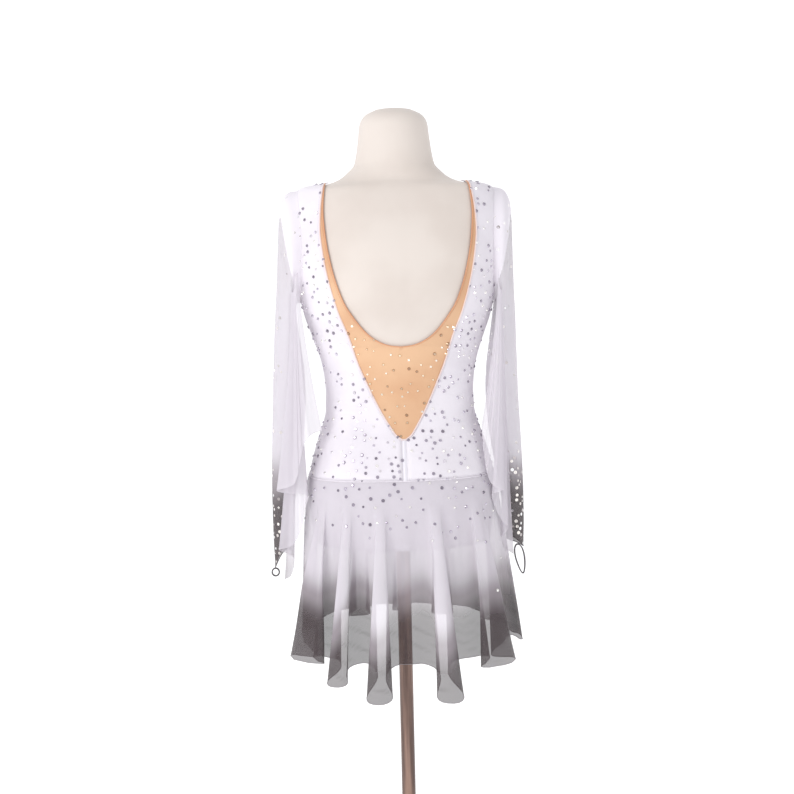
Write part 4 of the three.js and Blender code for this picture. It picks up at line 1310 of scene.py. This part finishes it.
@dataclass
class Skirt:
    """The sheer skirt, in a back and a front piece that follow the flutes round their tips."""

    form: FormShape
    lift: float = 4.1
    middle: float = 396.0
    tilt: float = 22.0
    spread: float = 0.6
    start: float = 0.1
    tip_round: float = 0.75
    flute_steps: int = 26
    valley_steps: int = 10
    rows: int = 84
    ripple: float = 1.1
    crinkle: float = 0.5
    sway: float = 2.2
    # on a pale flute's lit half the dye starts and is full at these heights instead, a painted highlight
    highlight_start: float = 122.0
    highlight_full: float = 14.0

    def places(self) -> list[tuple[Flute, float, Array, float]]:
        """Give each flute with its angle, its outward direction and the hem's run for a turn."""
        made = []
        for flute in FLUTES:
            share = (abs(flute.x) / HEM_SECTION.half) ** (HEM_SECTION.square / 2)
            side = math.copysign(math.asin(share), flute.x)
            angle = side if flute.face is Face.BACK else math.pi - side
            zero = np.zeros(1)
            step = on_section(HEM_SECTION, np.array([angle + 0.02]), zero)[0]
            step = step - on_section(HEM_SECTION, np.array([angle - 0.02]), zero)[0]
            out = np.array([-step[1], step[0], 0.0]) / np.linalg.norm(step)
            made.append((flute, angle % (2 * math.pi), out, float(np.linalg.norm(step)) / 0.04))
        return made

    def grown(self, v: Array) -> Array:
        """Give how far the flutes have grown at a share of the skirt's length."""
        return np.maximum((v - self.start) / (1 - self.start), 0.0)

    def panel(self, first: int, count: int) -> tuple[Array, Array, Array]:
        """Work out the skirt from the valley before one flute to the valley after another.

        Args:
            first: the first flute's number; it may be negative.
            count: how many flutes the piece has.

        Returns:
            The grid of points, each point's distance above the hem, and the painted highlight: how pale its
            flute's lit half stays.
        """
        places = self.places()
        total = len(places)
        v = np.linspace(0, 1, self.rows)
        grow = self.grown(v)

        def foot(index: int, q: float) -> Array:
            """Give a flute's angle down the skirt at a share of its half width, from -1 to 1."""
            flute, angle, _, run = places[index % total]
            sideways = flute.foot * (0.6 + 0.4 * grow) * q + flute.bulb * grow * math.sin(2 * math.pi * q)
            return angle + 2 * math.pi * (index // total) + sideways / run

        highlight_shares: list[float] = []

        def column(angle: Array, place: Optional[tuple[Flute, float, Array, float]], q: float) -> Array:
            """Work out one line of points from the waist to the hem, on a flute or in a valley."""
            crest = ((1 + math.cos(math.pi * q)) / 2) ** self.tip_round if place else 0.0
            # painted highlight: only the lit half of a flute, by its paleness, stays pale and denser
            lit = float(smoothstep(-0.35, 0.25, np.float64(q)))
            highlight_shares.append(crest * place[0].pale * lit if place else 0.0)
            valley = self.middle - self.tilt * np.cos(angle)
            hem = mix(valley, place[0].tip, crest) if place else valley
            z = mix(WAIST_SEAM_Z, hem, v)
            top = self.form.lifted(angle, np.full_like(angle, WAIST_SEAM_Z), np.full_like(angle, self.lift))
            low = on_section(HEM_SECTION, angle, z)
            top[:, 2] = z
            point = mix(top, low, (v**self.spread)[:, None])
            ripple = np.sin(angle * 23.0 + 2.0 * v) + 0.7 * np.sin(angle * 41.0 + 1.0)
            normal = np.stack([np.sin(angle), np.cos(angle), np.zeros_like(angle)], axis=1)
            point = point + normal * (self.ripple * ripple * smoothstep(0.05, 0.4, v))[:, None]
            if not place:
                run = 150.0 * angle
                crinkle = np.sin(0.33 * z + 0.42 * run) * np.sin(0.05 * run - 0.03 * z + 1.0)
                point = point + normal * (self.crinkle * crinkle * smoothstep(0.6, 0.8, v))[:, None]
            if place:
                sway = self.sway * math.sin(place[1] * 5.0)
                across = np.array([place[2][1], -place[2][0], 0.0])
                point = point + place[2] * (place[0].out * crest * grow)[:, None]
                point = point + across * (sway * crest * grow**2)[:, None]
            return point

        def valley(index: int, share: float) -> Array:
            """Give the angle at a share of the way from one flute to the next."""
            return mix(foot(index, 1.0), foot(index + 1, -1.0), share)

        gap = SEAM_GAP / 2 / HEM_SECTION.back
        half = self.valley_steps // 2

        def between(index: int, low: int, high: int) -> list[Array]:
            """Give the valley's columns from one step up to another."""
            return [column(valley(index, k / self.valley_steps), None, 0.0) for k in range(low, high)]

        columns = [column(valley(first - 1, 0.5) + gap, None, 0.0)]
        columns += between(first - 1, half + 1, self.valley_steps)
        for index in range(first, first + count):
            for k in range(self.flute_steps + 1):
                q = 2 * k / self.flute_steps - 1
                columns.append(column(foot(index, q), places[index % total], q))
            stop = half if index + 1 == first + count else self.valley_steps
            columns += between(index, 1, stop)
        columns.append(column(valley(first + count - 1, 0.5) - gap, None, 0.0))
        grid = np.stack(columns, axis=1)
        down = np.linalg.norm(np.diff(grid, axis=0), axis=-1)
        above = np.concatenate([np.cumsum(down[::-1], axis=0)[::-1], np.zeros((1, grid.shape[1]))])
        return grid, above, np.array(highlight_shares)[None, :] * grow[:, None] ** 0.5

    def build(self) -> list[bpy.types.Object]:
        """Make both pieces and their rolled hems."""
        made = []
        panels = (
            ("back", -3, 6, 168.0, 50.0, (0.95, 0.4), 0.235),
            ("front", 3, 5, 135.0, 26.0, (0.78, 0.3), 0.137),
        )
        for name, first, count, start, full, size, area in panels:
            grid, above, crest = self.panel(first, count)
            faded = above + 9 * np.sin(grid[..., 0] / 17.0)
            # painted highlight: where the crest share is high, on lit flute halves, the dye starts lower and
            # the cloth stays pale
            low, high = mix(start, self.highlight_start, crest), mix(full, self.highlight_full, crest)
            dye = smoothstep(0.0, 1.0, (low - faded) / (low - high))
            # painted crease shade: fine slanting crinkle lines near the hem add cover and so darken the dyed
            # cloth
            slant = 0.35 * grid[..., 0] - 0.94 * grid[..., 2]
            fine = np.sin(slant / 2.7 + 1.6 * np.sin(grid[..., 0] / 16.0))
            crinkle_shade_lines = fine * np.sin(slant / 9.0 + grid[..., 0] / 31.0)
            crinkle = np.maximum(crinkle_shade_lines, 0.0) ** 2 * smoothstep(95, 60, above) * smoothstep(0, 14, above)
            z = grid[..., 2]
            centre = 1 - 0.55 * smoothstep(70, 150, np.abs(grid[..., 0]))
            hip, lower = 0.8 * smoothstep(545, 640, z) * centre, 0.03 * smoothstep(440, 480, z)
            stones = (hip + lower) * smoothstep(664, 658, z)
            cloth = ClothMesh()
            # the crest value holds the painted highlight on lit flute halves and the painted crinkle shade
            cloth.add_grid(grid, {"dye": dye, "stones": stones, "crest": crest * (1 - dye) + 0.2 * crinkle})
            piece = cloth.make(f"skirt_{name}_chiffon", SKIRT_CHIFFON)
            place_on_stand(piece, SKIRT_CHIFFON, f"skirt_{name}")
            trim(f"skirt_{name}_hem", grid[-1], 0.5, HEM_ROLL, 6)
            made.append(piece)
        return made


@dataclass
class Brief:
    """The white brief under the skirt, with its gusset beside the pole."""

    form: FormShape
    stitches: Stitches
    lift: float = 2.4
    thick: float = 1.0
    back_edge: float = 551.0
    side_edge: float = 559.0
    gusset: tuple[float, float, float] = (17.0, 62.0, 543.5)
    gusset_reach: tuple[float, float] = (-86.0, 89.5)

    def build(self) -> None:
        """Make both panels, their leg bindings and the gusset."""
        for face in Face:
            u = np.linspace(-1, 1, 81)
            edge = mix(self.back_edge, self.side_edge, u * u)
            t = np.linspace(0, 1, 30)[:, None]
            z = mix(WAIST_SEAM_Z, edge, t)
            side = self.form.angle_at_y(z, SEAM_GAP / 2, face) * u
            angle = side if face is Face.BACK else np.pi - side
            pull = 0.6 * np.sin(u * 19.0)[None, :] * smoothstep(0.55, 1.0, t)
            grid = self.form.lifted(angle, z, self.lift + pull * 0.5)
            cloth = ClothMesh()
            cloth.add_grid(grid, {}, flip=face is Face.FRONT)
            name = face.name.lower()
            piece = cloth.make(f"brief_{name}_knit", WHITE_KNIT)
            thicken(piece, self.thick)
            place_on_stand(piece, WHITE_KNIT, f"brief_{name}")
            trim(f"leg_edge_{name}", grid[-1], 0.9, THREAD, 8)
            sewn = grid[-2] + np.array([0.0, 0.2 * face.value, 0.0])
            self.stitches.sew(f"leg_stitches_{name}", sewn, THREAD)
        self.build_gusset()

    def build_gusset(self) -> None:
        """Make the strip that passes below the form."""
        low, high, dip = self.gusset
        top = self.back_edge - SEAM_GAP - 1.1
        u = np.linspace(-1, 1, 50)[:, None]
        x = np.broadcast_to(np.linspace(low, high, 13), (len(u), 13))
        y = np.broadcast_to(mix(*self.gusset_reach, (1 + np.sin(np.pi / 2 * u)) / 2), x.shape)
        z = np.broadcast_to(mix(dip, top, u**6), x.shape)
        cloth = ClothMesh()
        cloth.add_grid(np.stack([x, y, z], axis=-1), {}, flip=True)
        piece = cloth.make("gusset_knit", WHITE_KNIT)
        thicken(piece, self.thick)
        place_on_stand(piece, WHITE_KNIT, "brief_gusset")


@dataclass
class Stand:
    """The limbless form, its pole and its round base."""

    form: FormShape
    floor: float = 562.0
    top: float = 1263.0
    pole_radius: float = 11.5
    base_radius: float = 165.0
    base_thick: float = 22.0
    boss_radius: float = 26.0
    boss_top: float = 48.0

    def build(self) -> None:
        """Make the three pieces of the stand."""
        self.build_form()
        bottom = self.boss_top + SEAM_GAP
        top = self.floor - SEAM_GAP
        side = [(self.pole_radius, z) for z in (bottom, bottom + 1, top)]
        pole = [(0, bottom), *side, (0, top)]
        place_on_stand(self.turned("pole_wood", pole, POLE_WOOD), POLE_WOOD, "stand_pole")
        r, t, b, high = self.base_radius, self.base_thick, self.boss_radius, self.boss_top
        base = [
            (0, 0), (r - 2, 0), (r - 0.6, 0.5), (r, 2), (r, t - 7), (r - 0.6, t - 4.2), (r - 2.2, t - 1.9),
            (r - 4.6, t - 0.5), (r - 7, t), (b + 8, t + 1.5), (b + 4, t + 3), (b + 1, t + 6), (b, t + 9),
            (b, high - 4), (b - 0.5, high - 1.9), (b - 1.9, high - 0.5), (b - 4, high), (0, high),
        ]
        place_on_stand(self.turned("base_wood", base, BASE_WOOD), BASE_WOOD, "stand_base")

    def turned(self, name: str, profile: Sequence[tuple[float, float]], finish: Finish) -> bpy.types.Object:
        """Turn a profile of radii and heights round the pole's axis."""
        turn = np.linspace(0, 2 * np.pi, 96, endpoint=False)
        radius = np.array([r for r, _ in profile])[:, None]
        z = np.broadcast_to(np.array([h for _, h in profile], float)[:, None], (len(profile), len(turn)))
        cloth = ClothMesh()
        cloth.add_grid(np.stack([radius * np.cos(turn), radius * np.sin(turn), z], axis=-1), {}, closed=True)
        made = cloth.make(name, finish)
        tidy_solid(made.data)
        made.data.set_sharp_from_angle(angle=math.radians(40))
        return made

    def build_form(self) -> None:
        """Make the jersey-covered form, with a soft edge at its flat floor and a rounded neck."""
        spans = ((571, 1100, 90), (1103, 1180, 50), (1184, 1238, 14))
        body = np.concatenate([np.linspace(*span) for span in spans])
        heights = np.concatenate([[562, 562.6, 564, 567], body, [1244, 1249, 1253, 1256, 1258.5, 1260]])
        inset = np.concatenate([[9, 6, 3.2, 1.0], np.zeros(len(heights) - 4)])
        angle = np.linspace(0, 2 * np.pi, 128, endpoint=False)[None, :]
        z = np.broadcast_to(heights[:, None], (len(heights), 128))
        grid = self.form.lifted(angle, z, -np.broadcast_to(inset[:, None], z.shape))
        grid[..., 2] = z
        crown = []
        for share in (0.72, 0.44, 0.2, 0.0):
            ring = grid[-1].copy()
            ring[:, :2] *= share
            ring[:, 2] = self.top - (self.top - 1260.0) * share**2
            crown.append(ring)
        floor = grid[:1] * np.array([0.0, 0.0, 1.0])
        cloth = ClothMesh()
        cloth.add_grid(np.concatenate([floor, grid, np.stack(crown)]), {}, closed=True)
        piece = cloth.make("form_jersey_cover", JERSEY)
        tidy_solid(piece.data)
        place_on_stand(piece, JERSEY, "form_body")
        z_seam = np.linspace(575, 1235, 220)
        for angle_at in (np.pi / 2, -np.pi / 2):
            path = self.form.lifted(np.full(220, angle_at), z_seam, np.full(220, 0.05))
            trim(f"form_seam_{'left' if angle_at > 0 else 'right'}", path, 0.35, JERSEY, 6)


def tidy_solid(mesh: bpy.types.Mesh) -> None:
    """Merge a closed mesh's doubles, drop flat faces and turn it to face outwards."""
    with edited(mesh) as work:
        bmesh.ops.remove_doubles(work, verts=work.verts, dist=1e-6)
        bmesh.ops.dissolve_degenerate(work, edges=work.edges, dist=1e-7)
        bmesh.ops.recalc_face_normals(work, faces=work.faces)


@dataclass
class Stones:
    """Scatters crystals over a sheet by its value named stones, with one node tree for all sheets."""

    radius: float = 2.6
    thickest: float = 9000.0
    tree: Optional[bpy.types.NodeTree] = None

    def node_tree(self) -> bpy.types.NodeTree:
        """Build the tree: scatter, place a cut stone at each point, give it a tone, and realize."""
        if self.tree:
            return self.tree
        tree, inputs = start_tree(
            "scatter_stones", Spacing="Float", Thickest="Float", Radius="Float", Seed="Int",
            Finish="Material")
        nodes, links = tree.nodes, tree.links
        share = nodes.new("GeometryNodeInputNamedAttribute")
        share.inputs["Name"].default_value = "stones"
        scatter = nodes.new("GeometryNodeDistributePointsOnFaces")
        scatter.distribute_method = "POISSON"
        links.new(inputs.outputs["Geometry"], scatter.inputs["Mesh"])
        links.new(inputs.outputs["Spacing"], scatter.inputs["Distance Min"])
        links.new(inputs.outputs["Thickest"], scatter.inputs["Density Max"])
        links.new(share.outputs[0], scatter.inputs["Density Factor"])
        links.new(inputs.outputs["Seed"], scatter.inputs["Seed"])
        cut = nodes.new("GeometryNodeMeshCone")
        cut.inputs["Vertices"].default_value = 8
        links.new(inputs.outputs["Radius"], cut.inputs["Radius Bottom"])
        for factor, socket in ((0.6, "Radius Top"), (0.6, "Depth")):
            part = nodes.new("ShaderNodeMath")
            part.operation = "MULTIPLY"
            links.new(inputs.outputs["Radius"], part.inputs[0])
            part.inputs[1].default_value = factor
            links.new(part.outputs[0], cut.inputs[socket])
        size = nodes.new("FunctionNodeRandomValue")
        size.inputs[2].default_value, size.inputs[3].default_value = 0.75, 1.2
        links.new(inputs.outputs["Seed"], size.inputs["Seed"])
        place = nodes.new("GeometryNodeInstanceOnPoints")
        links.new(scatter.outputs["Points"], place.inputs["Points"])
        links.new(scatter.outputs["Rotation"], place.inputs["Rotation"])
        links.new(cut.outputs["Mesh"], place.inputs["Instance"])
        links.new(size.outputs[1], place.inputs["Scale"])
        tone = nodes.new("FunctionNodeRandomValue")
        tone.inputs["Seed"].default_value = 7
        mark = nodes.new("GeometryNodeStoreNamedAttribute")
        mark.domain = "INSTANCE"
        mark.inputs["Name"].default_value = "tone"
        links.new(place.outputs["Instances"], mark.inputs["Geometry"])
        links.new(tone.outputs[1], mark.inputs["Value"])
        end_tree(tree, inputs, mark.outputs["Geometry"])
        self.tree = tree
        return tree

    def scatter(self, sheet: bpy.types.Object, name: str, seed: int, finish: Crystal, spacing: float) -> None:
        """Scatter stones over a sheet and keep them as one plain mesh.

        Args:
            sheet: the cloth that they are glued on.
            name: the new piece's name.
            seed: the draw's seed.
            finish: the stones' finish.
            spacing: least distance between stones in millimetres.
        """
        work = link_object(name + "_work", sheet.data)
        wanted = {"Spacing": spacing * MM, "Thickest": self.thickest, "Radius": self.radius * MM,
                  "Seed": seed, "Finish": finish.material()}
        keep_evaluated(work, self.node_tree(), wanted, name, finish)


@dataclass
class Studio:
    """The floor, the lights and the camera at the photograph's angle."""

    distance: float = 2.5
    height: float = 1.0
    azimuth: float = 177.0
    pitch: float = 4.79
    roll: float = -1.35
    aim_x: float = 0.0045
    lens: float = 68.7

    def build(self) -> None:
        """Make the whole studio."""
        self.build_floor()
        self.build_lights()
        self.build_camera()

    def build_floor(self) -> None:
        """Make a plain pale floor that turns up softly far behind."""
        mesh = bpy.data.meshes.new("studio_floor")
        far, wide, radius = 4.0, 9.0, 2.0
        profile = [(-wide, 0.0)]
        bend = np.linspace(0, math.pi / 2, 24)
        profile += [(far + radius * math.sin(a), radius * (1 - math.cos(a))) for a in bend]
        profile.append((far + radius, 7.0))
        points = [(x, -y, z) for y, z in profile for x in (-wide, wide)]
        faces = [(2 * i, 2 * i + 1, 2 * i + 3, 2 * i + 2) for i in range(len(profile) - 1)]
        mesh.from_pydata(points, [], faces)
        mesh.materials.append(Backdrop("studio_paper", "").material())
        mesh.polygons.foreach_set("use_smooth", [True] * len(mesh.polygons))
        floor = link_object("studio_floor", mesh)

    def area_light(self, name: str, place: Vector, size: float, power: float, target: Vector) -> None:
        """Hang a soft square light that faces a point."""
        data = bpy.data.lights.new(name, "AREA")
        data.size = size
        data.energy = power
        facing = (target - place).to_track_quat("-Z", "Y").to_matrix().to_4x4()
        link_object(name, data).matrix_world = Matrix.Translation(place) @ facing

    def build_lights(self) -> None:
        """Light from the left of the picture, with a weaker fill and an even white surround."""
        chest = Vector((0.0, 0.0, 0.85))
        self.area_light("key_window", Vector((2.1, 1.9, 1.9)), 1.6, 34.0, chest)
        self.area_light("fill_right", Vector((-2.4, 2.0, 1.2)), 1.8, 4.0, chest)
        self.area_light("back_glow", Vector((0.6, -2.2, 1.9)), 1.8, 6.0, chest)
        world = bpy.data.worlds.new("studio_air")
        world.use_nodes = True
        world.node_tree.nodes["Background"].inputs["Color"].default_value = (0.97, 0.98, 1.0, 1.0)
        world.node_tree.nodes["Background"].inputs["Strength"].default_value = 0.76
        bpy.context.scene.world = world
        bpy.context.scene.view_settings.view_transform = "Standard"

    def build_camera(self) -> None:
        """Place the camera behind the dress, tipped a little down and rolled as in the photograph."""
        data = bpy.data.cameras.new("camera")
        data.lens = self.lens
        data.sensor_width = 36.0
        camera = link_object("camera", data)
        turn = math.radians(self.azimuth)
        back = Vector((math.sin(turn), -math.cos(turn), 0.0))
        right = Vector((math.cos(turn), math.sin(turn), 0.0))
        place = back * self.distance - right * self.aim_x + Vector((0, 0, self.height))
        down = math.radians(self.pitch)
        look = -back * math.cos(down) - Vector((0, 0, math.sin(down)))
        up = right.cross(look)
        frame = Matrix((right, up, -look)).transposed().to_4x4()
        rolled = frame @ Matrix.Rotation(math.radians(self.roll), 4, "Z")
        camera.matrix_world = Matrix.Translation(place) @ rolled
        bpy.context.scene.camera = camera


def main() -> None:
    """Build every piece in order."""
    logging.basicConfig(level=logging.INFO, format="%(name)s %(message)s")
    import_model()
    Studio().build()
    form = FormShape()
    Stand(form).build()
    stitches = Stitches()
    bodice = Bodice(form, stitches)
    stones = Stones()
    for seed, back in enumerate(bodice.build_backs(), start=11):
        stones.scatter(back, back.name.replace("cloth", "stones"), seed, STONE, 8.6)
    stones.scatter(bodice.build_front(), "front_stones", 21, STONE, 10.5)
    stones.scatter(bodice.build_inset(), "inset_stones", 22, WARM_STONE, 11.0)
    bodice.build_zip()
    bodice.build_trims()
    for seed, arm in enumerate(ARMS, start=31):
        sleeve = Sleeve(form, bodice, arm)
        stones.scatter(sleeve.build_sleeve(), f"sleeve_{sleeve.tag}_stones", seed, BRIGHT_STONE, 6.2)
        sleeve.build_drape()
        sleeve.build_loop()
    for seed, panel in enumerate(Skirt(form).build(), start=41):
        stones.scatter(panel, panel.name.replace("chiffon", "stones"), seed, STONE, 10.5)
    Brief(form, stitches).build()


if __name__ == "__main__":
    main()
